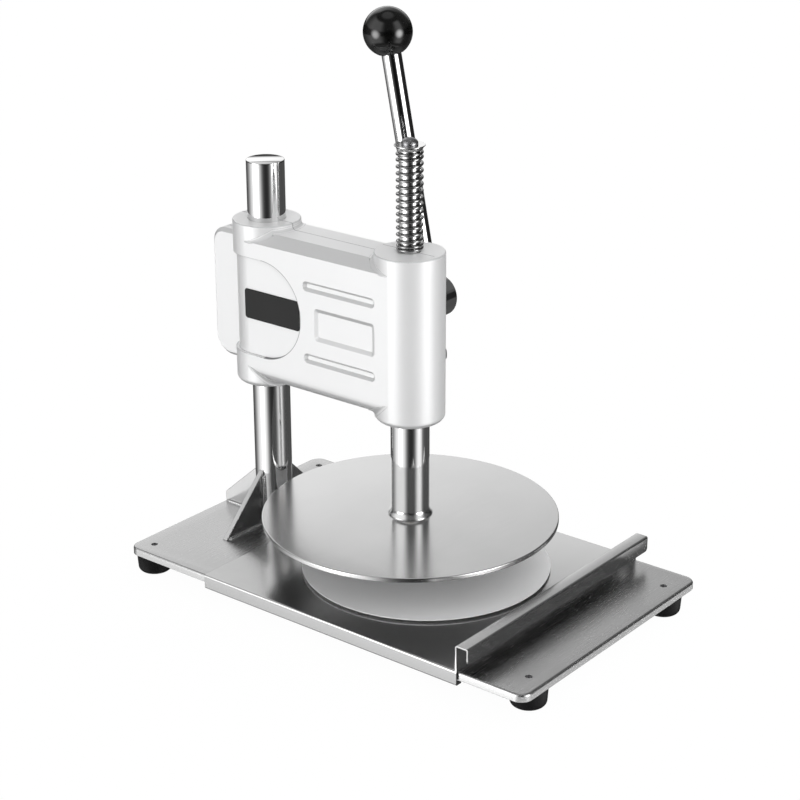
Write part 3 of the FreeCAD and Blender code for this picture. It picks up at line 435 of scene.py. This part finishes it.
pillarLow, pillarHigh = span("pillar")
pillarY = middle("pillar")[1]
shaftTop = span("press_shaft")[1][2]
shaftY = middle("foot_ring")[1]
flareTop = span("foot_ring")[1][2]
headHigh = span("head_shell_left")[1]
plateTop = span("press_plate")[1][2]
leverY, leverZ = middle("lever_hub")[1:]
capLow, capHigh = span("spring_cap")
baseTop = span("base_plate")[1][2]


# Base

edges = {"base_plate": 0.0003, "gusset_left": 0.0004, "gusset_right": 0.0004, "gusset_rear": 0.0004,
         "tray": 0.00025, "press_plate": 0.0003, "label_plate": 0.0003, "lever_hub": 0.0,
         "clamp_bolts": 0.0004, "clamp_washers": 0.0003, "grease_screw": 0.0004, "shell_screws": 0.0004,
         "pillar_bolt": 0.0005, "base_stiffener": 0.0004, "crank_shaft": 0.0003, "foot_screws": 0.0003}
for node, edge in edges.items():
    dressed(node, edge)

feet = {"segments": 72, "bottom": 0.014, "top": 0.0152, "round": 0.0045, "shoulder": 0.0158, "neck": 0.012,
        "recess": 0.006, "recessDepth": 0.005, "bore": 0.0027, "pocket": 0.0048, "pocketLow": 0.0168,
        "flank": 0.0001, "lip": 0.0004, "lipHigh": 0.0012, "neckTop": 0.021}
footPoints = np.array([v.co for v in nodes["foot_nuts"].data.vertices])
footCentres = [footPoints[(footPoints[:, 0] * sx > 0) & (footPoints[:, 1] * sy > 0)].reshape(-1, 3)
               for sx in (-1, 1) for sy in (-1, 1)]
footCentres = [(group.min(0) + group.max(0)) / 2 for group in footCentres]
footProfile = [(feet["bore"], feet["recessDepth"]), (feet["recess"], feet["recessDepth"]),
               (feet["recess"], 0.0), (feet["bottom"] - feet["round"], 0.0)]
footArc = (feet["bottom"] - feet["round"] + feet["flank"], feet["round"])
footProfile += arcPairs(footArc, feet["round"], -90, -4, 9)[1:]
footProfile += [(feet["top"] - feet["lip"], feet["shoulder"] - feet["lipHigh"]),
                (feet["top"], feet["shoulder"] - feet["lipHigh"] / 2), (feet["top"] - feet["lip"], feet["shoulder"]),
                (feet["neck"], feet["shoulder"]), (feet["neck"], feet["neckTop"]), (feet["pocket"], feet["neckTop"]),
                (feet["pocket"], feet["pocketLow"]), (feet["bore"], feet["pocketLow"])]
gridPiece("rubber_feet_moulded",
          [turned(footProfile, (centre[0], centre[1], 0.0), segments=feet["segments"]) for centre in footCentres],
          "black_rubber", "base", ["rubber_feet"], closeRows=True)

bar = {"radius": 0.0156, "edge": 0.0008, "edgeMiddle": (0.00028, 0.0002), "ring": 0.00112, "bore": 0.006,
       "boreDepth": 0.031, "segments": 160}  # the ring keeps the shading straight up to the edge
barTop, barLow = pillarHigh[2], pillarLow[2]
barProfile = [(0, barLow + bar["boreDepth"]), (bar["bore"], barLow + bar["boreDepth"]), (bar["bore"], barLow),
              (bar["radius"], barLow), (bar["radius"], barTop - bar["ring"]), (bar["radius"], barTop - bar["edge"]),
              (bar["radius"] - bar["edgeMiddle"][0], barTop - bar["edgeMiddle"][1]),
              (bar["radius"] - bar["edge"], barTop), (0, barTop)]
gridPiece("pillar_bar", [turned(barProfile, (0, pillarY, 0), segments=bar["segments"])], "pillar_chrome", "base",
          ["pillar"])

welds = {"radius": 0.0017, "ripple": 0.07, "pitch": 0.0021, "sides": 12, "step": 0.00045, "blunt": 0.7,
         "clear": 0.0002}


def bead(start, end):
    # A weld bead: a tube whose radius swells a little at each ripple and closes to a point at both ends.
    start, end = np.array(start), np.array(end)
    length = np.linalg.norm(end - start)
    share = np.linspace(0, 1, int(length / welds["step"]))
    ripple = 1 + welds["ripple"] * np.sin(2 * math.pi * share * length / welds["pitch"])
    close = np.sqrt(np.clip(1 - (np.abs(share * 2 - 1)) ** (length / welds["radius"] * welds["blunt"]), 0, 1))
    return tube(start + (end - start) * share[:, None], welds["radius"] * ripple * close, welds["sides"])


gussets = {"half": 0.0022, "rearHalf": 0.0025, "reach": 0.0605, "rearReach": 0.0535, "rise": 0.0435,
           "rearRise": 0.0400, "inset": 0.0004}
beads = []
floorZ = baseTop + gussets["inset"]
for side in (-1, 1):
    for face in (-1, 1):
        y = pillarY + face * (gussets["half"] + gussets["inset"])
        wall = side * (bar["radius"] + welds["clear"])
        beads.append(bead((side * bar["radius"], y, floorZ), (side * gussets["reach"], y, floorZ)))
        beads.append(bead((wall, y, floorZ), (wall, y, floorZ + gussets["rise"])))
for face in (-1, 1):
    x = face * (gussets["rearHalf"] + gussets["inset"])
    wall = pillarY + bar["radius"] + welds["clear"]
    beads.append(bead((x, wall, floorZ), (x, pillarY + gussets["rearReach"], floorZ)))
    beads.append(bead((x, wall, floorZ), (x, wall, floorZ + gussets["rearRise"])))
gridPiece("gusset_welds", beads, "gusset_steel", "base", angle=80)

discLow, discHigh = span("tray_disc")
disc = {"rim": 0.0006, "foot": 0.0110, "under": 0.0100, "lip": 0.0003, "edge": 0.0002, "edgeLow": 0.00012,
        "segments": 200}
discMiddle = (*middle("tray_disc")[:2], 0)
discTop, discRadius = discHigh[2], (discHigh[0] - discLow[0]) / 2
discProfile = [(0, discLow[2]), (discRadius - disc["foot"], discLow[2]),
               (discRadius - disc["under"], discTop - disc["rim"] - disc["lip"]),
               (discRadius - disc["edge"], discTop - disc["rim"]),
               (discRadius, discTop - disc["rim"] + disc["edgeLow"]), (discRadius, discTop - disc["edge"]),
               (discRadius - disc["edge"], discTop), (0, discTop)]
gridPiece("tray_disc_turned", [turned(discProfile, discMiddle, segments=disc["segments"])], "disc_steel",
          bodyOf("tray_disc"), ["tray_disc"], angle=25)
print("base done")


# Head

coves = {"boss": 0.028, "topHalf": 0.018, "top": 0.2835, "fall": 0.01746, "shoulder": 0.2755, "topRound": 0.0034,
         "bottom": 0.1573, "bottomHalf": 0.017, "bottomRound": 0.011, "underRound": 0.0050, "seam": 0.00012,
         "steepest": 0.9999, "last": 89, "widest": 1.7, "narrowest": 0.02, "columns": 90, "curve": 12, "sink": 0.0008}


def topHeight(x):  # the web's top: nearly level to the chamfer, then falling to the shoulder
    flat = coves["top"] - coves["fall"] * x
    chamfer = coves["top"] - coves["fall"] * coves["topHalf"]
    slope = (coves["shoulder"] - chamfer) / (coves["boss"] - coves["topHalf"])
    return np.where(x < coves["topHalf"], flat, chamfer + slope * (x - coves["topHalf"]))


def bottomHeight(x):  # the web's underside: level, then a quarter round up to the side
    out = np.clip((x - coves["bottomHalf"]) / coves["bottomRound"], 0, coves["steepest"])
    return coves["bottom"] + coves["bottomRound"] * (1 - np.sqrt(1 - out ** 2))


def cove(bossY, facing, side, height, radius, upward):
    # An inside fillet where the web meets a boss: at each angle round the boss a curve leaves the boss's
    # wall and lands on the web, (1-u)^2 of the way along the wall plus u^2 of the way along the web.
    angle = np.linspace(math.asin(coves["seam"] / coves["boss"]), math.radians(coves["last"]), coves["columns"])
    x = coves["boss"] * np.sin(angle)
    corner = height(x)
    small = 1e-5
    slope = (height(x + small * np.sin(angle)) - corner) / small
    out = np.stack([np.ones_like(slope), slope], -1)
    out /= np.linalg.norm(out, axis=1, keepdims=True)
    reach = radius * np.clip(np.cos(angle) * coves["widest"], coves["narrowest"], 1)
    u = np.linspace(0, 1, coves["curve"])
    radial = coves["boss"] + reach[:, None] * out[:, :1] * u ** 2
    rise = corner[:, None] + reach[:, None] * (upward * (1 - u) ** 2 + out[:, 1:] * u ** 2)
    sunk = np.full_like(corner, coves["boss"] - coves["sink"])
    back = np.stack([radial[:, -1], rise[:, -1] - upward * coves["sink"]], -1)
    inner = np.stack([sunk, corner - upward * coves["sink"]], -1)
    wall = np.stack([sunk, rise[:, 0]], -1)
    section = np.concatenate([np.stack([radial, rise], -1), back[:, None], inner[:, None], wall[:, None]], 1)
    px = side * section[..., 0] * np.sin(angle)[:, None]
    py = bossY + facing * section[..., 0] * np.cos(angle)[:, None]
    return np.stack([px, py, section[..., 1]], -1)


for side, label in ((-1, "left"), (1, "right")):
    strips = []
    for bossY, facing in ((shaftY, 1), (pillarY, -1)):
        strips.append(cove(bossY, facing, side, topHeight, coves["topRound"], 1))
        strips.append(cove(bossY, facing, side, bottomHeight, coves["underRound"], -1))
    gridPiece("head_fillets_" + label, strips, "white_paint", "head", angle=50)

spring = {"wire": 0.0011, "mean": 0.0096, "lowTurns": 2.0, "openTurns": 13.0, "highTurns": 1.0, "close": 0.0028,
          "soft": 0.1, "perTurn": 44, "sides": 20, "start": math.pi / 4}
total = spring["lowTurns"] + spring["openTurns"] + spring["highTurns"]
turns = np.linspace(0, total, int(total * spring["perTurn"]) + 1)
rising = (1 / (1 + np.exp(-(turns - spring["lowTurns"]) / spring["soft"]))
          / (1 + np.exp((turns - total + spring["highTurns"]) / spring["soft"])))  # 1 over the open turns
closed = spring["close"] * total
opening = (capLow[2] - headHigh[2] - 2 * spring["wire"]) - closed
climb = np.concatenate([[0], np.cumsum((rising[1:] + rising[:-1]) / 2)])
heights = headHigh[2] + spring["wire"] + spring["close"] * turns + opening * climb / climb[-1]
angles = spring["start"] + turns * 2 * math.pi
coil = np.stack([spring["mean"] * np.cos(angles), shaftY + spring["mean"] * np.sin(angles), heights], -1)
coilPiece = gridPiece("return_spring_wire", [tube(coil, spring["wire"], spring["sides"])], "spring_steel",
                      bodyOf("return_spring"), ["return_spring"], angle=60)
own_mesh(coilPiece)
print("head done")


# Lever

lever = {"lean": 11.6, "out": 0.0664, "rod": 0.008, "neck": 0.006, "neckEnd": 0.0125, "shoulder": 0.013,
         "knob": 0.2166, "ball": 0.0198, "flat": 0.0176, "stud": 0.005, "studLength": 0.014, "bore": 0.015,
         "rodEdge": 0.0004, "ballEdge": 0.0006, "ballTurn": 1.2, "rodSegments": 112, "ballSegments": 96}
lean = math.radians(lever["lean"])
leverAxis = (0, math.sin(lean), math.cos(lean))
leverFoot = (lever["out"], leverY, leverZ)
rodTop = lever["knob"] - lever["flat"]
rodProfile = [(0, -lever["neckEnd"]), (lever["neck"], -lever["neckEnd"]), (lever["neck"], lever["shoulder"]),
              (lever["rod"], lever["shoulder"]), (lever["rod"], rodTop - lever["rodEdge"]),
              (lever["rod"] - lever["rodEdge"], rodTop), (lever["stud"], rodTop),
              (lever["stud"], rodTop + lever["studLength"]), (0, rodTop + lever["studLength"])]
gridPiece("lever_rod_bar", [turned(rodProfile, leverFoot, leverAxis, lever["rodSegments"])], "shaft_chrome", "crank",
          ["lever_rod"])

flatRadius = math.sqrt(lever["ball"] ** 2 - lever["flat"] ** 2)
ballStart = math.degrees(math.atan2(-lever["flat"], flatRadius))
ballProfile = [(0, rodTop + lever["bore"]), (lever["stud"], rodTop + lever["bore"]), (lever["stud"], rodTop),
               (flatRadius - lever["ballEdge"], rodTop)]
ballProfile += arcPairs((0, lever["knob"]), lever["ball"], ballStart + lever["ballTurn"], 90, 60)
gridPiece("lever_knob_ball", [turned(ballProfile, leverFoot, leverAxis, lever["ballSegments"])], "knob_black",
          "crank", ["lever_knob"], angle=50)
print("lever done")


# Press

rack = {"radius": 0.01557, "rod": 0.008, "socket": 0.003, "socketDepth": 0.018, "flat": 0.0130, "root": 0.0085,
        "line": 0.011, "shoulder": 0.2685, "low": 0.2090, "module": 0.002, "play": 0.00006, "flank": 20, "first": -2,
        "last": 7, "columns": 144, "foot": 0.0001, "close": 1e-6}
pitch = math.pi * rack["module"]
toothHalf = pitch / 4 + rack["play"]  # half a tooth space at the pitch line
flankSlope = math.tan(math.radians(rack["flank"]))


def rackDepth(height):
    # Distance of the toothed face from the shaft's middle: the flat, cut back to the root at each tooth space,
    # and far outside the bar below the rack.
    nearest = np.clip(np.round((height - leverZ) / pitch), rack["first"], rack["last"])
    away = np.abs(height - leverZ - nearest * pitch)
    reach = rack["line"] + (away - toothHalf) / flankSlope
    return np.where(height < rack["low"], 1.0, np.clip(reach, rack["root"], rack["flat"]))


def shaftGrid():
    # Rings round the upright axis, flattened where the toothed face cuts them: y is the smaller of the two.
    deep = toothHalf - (rack["line"] - rack["root"]) * flankSlope
    wide = toothHalf + (rack["flat"] - rack["line"]) * flankSlope
    levels = [plateTop, plateTop + rack["foot"], rack["low"] - rack["close"], rack["low"] + rack["close"]]
    for number in range(rack["first"], rack["last"] + 1):
        space = leverZ + number * pitch
        levels += [space - wide, space - deep, space + deep, space + wide]
    levels = sorted(level for level in levels if level <= rack["shoulder"]) + [rack["shoulder"]]
    turn = np.linspace(0, 2 * math.pi, rack["columns"], endpoint=False)
    heights = np.array(levels)[:, None]
    x = np.broadcast_to(rack["radius"] * np.sin(turn), (len(levels), rack["columns"]))
    y = np.minimum(rack["radius"] * np.cos(turn), rackDepth(heights))
    body = np.stack([x, y + shaftY, np.broadcast_to(heights, x.shape)], -1)
    socketFloor = shaftTop - rack["socketDepth"]
    rod = [(rack["rod"], rack["shoulder"]), (rack["rod"], shaftTop), (rack["socket"], shaftTop),
           (rack["socket"], socketFloor), (0, socketFloor)]
    upper = np.array([[[radius * math.sin(a), shaftY + radius * math.cos(a), z] for a in turn] for radius, z in rod])
    lower = np.stack([np.zeros(rack["columns"]), np.full(rack["columns"], shaftY),
                      np.full(rack["columns"], plateTop)], -1)[None]
    return np.concatenate([lower, body, upper])


gridPiece("press_shaft_bar", [shaftGrid()], "shaft_chrome", "press", ["press_shaft"])

flare = {"radius": 0.0181, "edge": 0.0006, "hollow": 0.12, "sink": 0.0004, "steps": 10, "segments": 128}
u = np.linspace(0, 1, flare["steps"])
across = (rack["radius"] - flare["radius"], flareTop - plateTop - flare["edge"])
length = math.hypot(*across)
dip = -4 * flare["hollow"] * length * u * (1 - u)
flareProfile = [(rack["radius"] - flare["sink"], plateTop), (flare["radius"], plateTop)]
flareProfile += list(zip(flare["radius"] + across[0] * u + dip * across[1] / length,
                         plateTop + flare["edge"] + across[1] * u - dip * across[0] / length))
flareProfile += [(rack["radius"] - flare["sink"], flareTop)]
gridPiece("foot_flare", [turned(flareProfile, (0, shaftY, 0), segments=flare["segments"])], "press_steel", "press",
          ["foot_ring"], closeRows=True, angle=60)

cap = {"low": 0.0096, "lowOut": (0.0004, 0.0007), "lowUp": (0.0002, 0.0012), "top": 0.0120, "topIn": 0.0007,
       "rim": (0.0010, 0.0007), "edge": 0.0002, "hole": 0.003, "screw": 0.003, "screwLength": 0.018,
       "head": 0.0066, "dome": 0.0046, "segments": 96, "screwSegments": 80}
capProfile = [(cap["hole"], capLow[2]), (cap["low"], capLow[2])]
capProfile += [(cap["low"] + out, capLow[2] + up) for out, up in zip(cap["lowOut"], cap["lowUp"])]
capProfile += [(cap["top"] - cap["topIn"], capHigh[2] - cap["rim"][0]), (cap["top"], capHigh[2] - cap["rim"][1]),
               (cap["top"], capHigh[2] - cap["edge"]), (cap["top"] - cap["edge"], capHigh[2]),
               (cap["hole"], capHigh[2])]
gridPiece("spring_cap_turned", [turned(capProfile, (0, shaftY, 0), segments=cap["segments"])], slotOf["spring_cap"],
          "press", ["spring_cap"], closeRows=True)
screwTop = span("cap_screw")[1][2]
screwProfile = [(0, capHigh[2] - cap["screwLength"]), (cap["screw"], capHigh[2] - cap["screwLength"]),
                (cap["screw"], capHigh[2]), (cap["head"], capHigh[2])]
screwProfile += [(cap["head"] * math.cos(t), screwTop - cap["dome"] * (1 - math.sin(t)))
                 for t in np.linspace(0, math.pi / 2, 12)[:-1]]  # half an ellipse
screwProfile += [(0, screwTop)]
gridPiece("cap_screw_turned", [turned(screwProfile, (0, shaftY, 0), segments=cap["screwSegments"])],
          slotOf["cap_screw"], "press", ["cap_screw"], angle=50)
print("press done")

for node, thing in nodes.items():  # the CAD parts that still show take their slot's finish
    thing.data.materials.clear()
    thing.data.materials.append(finishes[slotOf[node]])


# Floor, light and camera

def bareTree(owner, ending):  # an empty node tree, and how its surface is set
    owner.use_nodes = True
    tree = owner.node_tree
    tree.nodes.clear()
    last = tree.nodes.new(ending)
    return Wire(tree), lambda surface: tree.links.new(surface.socket, last.inputs["Surface"])


def sheet(name, outline, height):  # a flat polygon lying at a height, named before the look that it gets
    made = bpy.data.objects.new(name, bpy.data.meshes.new(name))
    made.data.from_pydata([(x, y, height) for x, y in outline], [], [tuple(range(len(outline)))])
    scene.collection.objects.link(made)
    look = bpy.data.materials.new("pale_" + name)
    made.data.materials.append(look)
    return made, *bareTree(look, "ShaderNodeOutputMaterial")


stage = {"half": 4.0, "glow": 0.95, "white": 1.03, "colour": (0.52, 0.52, 0.52)}
corners = [(-stage["half"], -stage["half"]), (stage["half"], -stage["half"]), (stage["half"], stage["half"]),
           (-stage["half"], stage["half"])]
floor, start, setSurface = sheet("floor", corners, 0)
matt = start.node("ShaderNodeBsdfDiffuse", inputs={"Color": (*stage["colour"], 1.0)})
glow = start.node("ShaderNodeEmission", inputs={"Color": (1, 1, 1, 1), "Strength": stage["white"]})
seen = start.node("ShaderNodeLightPath", output="Is Camera Ray")
setSurface(start.node("ShaderNodeMixShader", inputs={0: seen * stage["glow"], 1: matt, 2: glow}))
floor.visible_glossy = False
floor.visible_shadow = False

card = {"outline": [(-0.165, -0.25), (0.20, -0.25), (0.20, -0.2035), (-0.1215, -0.2035), (-0.1215, -0.188),
                    (-0.165, -0.188)], "lift": 0.0002, "level": 0.7}  # a pale card lying before the base
paper, start, setSurface = sheet("card", card["outline"], card["lift"])
setSurface(start.node("ShaderNodeEmission", inputs={"Color": (1, 1, 1, 1), "Strength": card["level"]}))
paper.visible_camera = paper.visible_diffuse = paper.visible_shadow = paper.visible_transmission = False

view = {"place": (-1.16308, -0.92566, 0.75564), "turn": 0.8945, "down": 0.3782, "roll": -0.0033, "lens": 90.92,
        "sensor": 36.0, "near": 0.05, "far": 50.0}
sinTurn, cosTurn = math.sin(view["turn"]), math.cos(view["turn"])
sinDown, cosDown = math.sin(view["down"]), math.cos(view["down"])
forward = np.array([sinTurn * cosDown, cosTurn * cosDown, -sinDown])
right = np.array([cosTurn, -sinTurn, 0.0])
upright = np.cross(right, forward)
tilted = math.cos(view["roll"]) * right + math.sin(view["roll"]) * upright
raised = -math.sin(view["roll"]) * right + math.cos(view["roll"]) * upright
lens = bpy.data.cameras.new("camera")
lens.lens = view["lens"]
lens.sensor_width = view["sensor"]
lens.clip_start, lens.clip_end = view["near"], view["far"]
camera = bpy.data.objects.new("camera", lens)
camera.matrix_world = Matrix([[*values] for values in zip(tilted, raised, -forward)]).to_4x4()
camera.location = view["place"]
scene.collection.objects.link(camera)
scene.camera = camera

studio = {"glossyRamp": [(-180, 0.05), (-146, 0.08), (-136, 0.12), (-128, 0.18), (-120, 0.265), (-111, 0.44),
                         (-102, 0.63), (-94, 0.85), (-86, 1.03), (-80, 1.12), (-41, 1.12), (-35, 0.95), (-30, 0.72),
                         (-24, 0.43), (-18, 0.22), (-12, 0.10), (-6, 0.05), (2, 0.03), (12, 0.032), (18, 0.055),
                         (24, 0.125), (30, 0.29), (36, 0.58), (42, 0.88), (48, 1.12), (62, 1.12), (70, 0.85),
                         (77, 0.30), (84, 0.17), (93, 0.10), (110, 0.08), (126, 0.085)],
          "rampRise": (-42, 50, 6), "stripLow": (-14, -10), "stripHigh": (5, 13), "stripShare": 0.22,
          "ovalPower": 1.5, "ovalRate": -0.5, "overhead": 0.03, "board": 0.12, "boardRise": (12, 20),
          "above": 0.4, "aboveRise": (64, 76), "floor": 0.3, "floorRise": (-58, -36)}  # angles and rises in degrees
rear = {"level": 1.14, "high": 0.35, "highRise": (23.2, 26.8), "top": 0.3, "topRise": (28, 30), "slope": 1.35,
        "darkest": 0.3, "brightest": 1.25, "start": (0, 12), "end": (50, 62), "away": (125, 158)}  # from behind the press
ovals = {"left_oval": {"azimuth": -59, "rise": -6.8, "wide": 15, "tall": 13.5, "level": 6.6},
         "right_oval": {"azimuth": 55, "rise": -2.4, "wide": 13, "tall": 13, "level": 8.6}}
soft = {"all round": 0.38, "darkest": 0.03}
lobes = {"left low": (0.95, -95, 5, 3.0), "front": (1.65, -15, 32, 3.0), "right": (0.68, 60, 10, 4.0),
         "behind right": (0.3, 120, 20, 3.0), "left above": (-1.5, -80, 50, 6.0),
         "behind above": (0.55, 150, 45, 2.0)}  # level, angle, rise and sharpness of each soft light
world = bpy.data.worlds.new("studio")
scene.world = world
world.cycles.sampling_method = "NONE"
start, setSurface = bareTree(world, "ShaderNodeOutputWorld")
ray = start.node("ShaderNodeTexCoord", output="Generated")
toward = np.array([-sinTurn, -cosTurn, 0.0])


def studioWay(azimuth, rise):  # a direction by its angle from the camera's side and its rise, in degrees
    azimuth, rise = math.radians(azimuth), math.radians(rise)
    level = toward * math.cos(azimuth) + right * math.sin(azimuth)
    return level * math.cos(rise) + np.array([0, 0, math.sin(rise)])


def along(direction):  # how far the ray points along a fixed direction of the studio
    return start.node("ShaderNodeVectorMath", {"operation": "DOT_PRODUCT"},
                      {0: ray, 1: tuple(float(v) for v in direction)}, output="Value")


sideways = along(right)
azimuth = start.maths("ARCTAN2", sideways, along(toward)) * (180 / math.pi)
rise = start.maths("ARCSINE", along((0, 0, 1))) * (180 / math.pi)

highest = max(level for _, level in studio["glossyRamp"])
stops = [((angle + 180) / 360, level / highest) for angle, level in studio["glossyRamp"]]
bands = start.node("ShaderNodeValToRGB", {"stops": stops}, {"Fac": azimuth / 360 + 0.5}) * highest
strip = rise.step(*studio["stripLow"]) * (1.0 - rise.step(*studio["stripHigh"]))  # dimmer at eye level
bands = bands * (1.0 - strip * (1.0 - studio["stripShare"]))
within = rise.between(*studio["rampRise"])
front = bands * within + (1.0 - within) * studio["overhead"]
front = front.most(rise.step(*studio["boardRise"]) * studio["board"])
for oval in ovals.values():
    distance = ((azimuth - oval["azimuth"]) / oval["wide"]).square() + ((rise - oval["rise"]) / oval["tall"]).square()
    front = front.most(start.maths("EXPONENT", distance ** studio["ovalPower"] * studio["ovalRate"]) * oval["level"])
rearLevel = ((rear["level"] - rear["high"]) * (1.0 - rise.step(*rear["highRise"])) + rear["high"]
             + rise.step(*rear["topRise"]) * rear["top"] - sideways * rear["slope"])
rearLevel = rearLevel.most(rear["darkest"]).least(rear["brightest"])
behind = rise.step(*rear["start"]) * (1.0 - rise.step(*rear["end"])) * rearLevel + studio["overhead"]
around = front.most(behind * azimuth.unsigned().step(*rear["away"]))
aboveFloor = rise.step(*studio["floorRise"])
glossy = studio["floor"] * (1.0 - aboveFloor) + around * aboveFloor
glossy = glossy + rise.step(*studio["aboveRise"]) * studio["above"]
matt = soft["all round"]
for level, turnAway, lift, power in lobes.values():
    matt = matt + along(studioWay(turnAway, lift)).most(0.0) ** power * level
matt = matt.most(soft["darkest"])
isCamera = start.node("ShaderNodeLightPath", output="Is Camera Ray")
isGlossy = start.node("ShaderNodeLightPath", output="Is Glossy Ray")
strength = matt.toward(glossy, isGlossy).toward(1.0, isCamera)
setSurface(start.node("ShaderNodeBackground", inputs={"Color": (1, 1, 1, 1), "Strength": strength}))

scene.view_settings.view_transform = "Standard"
print("stage done")
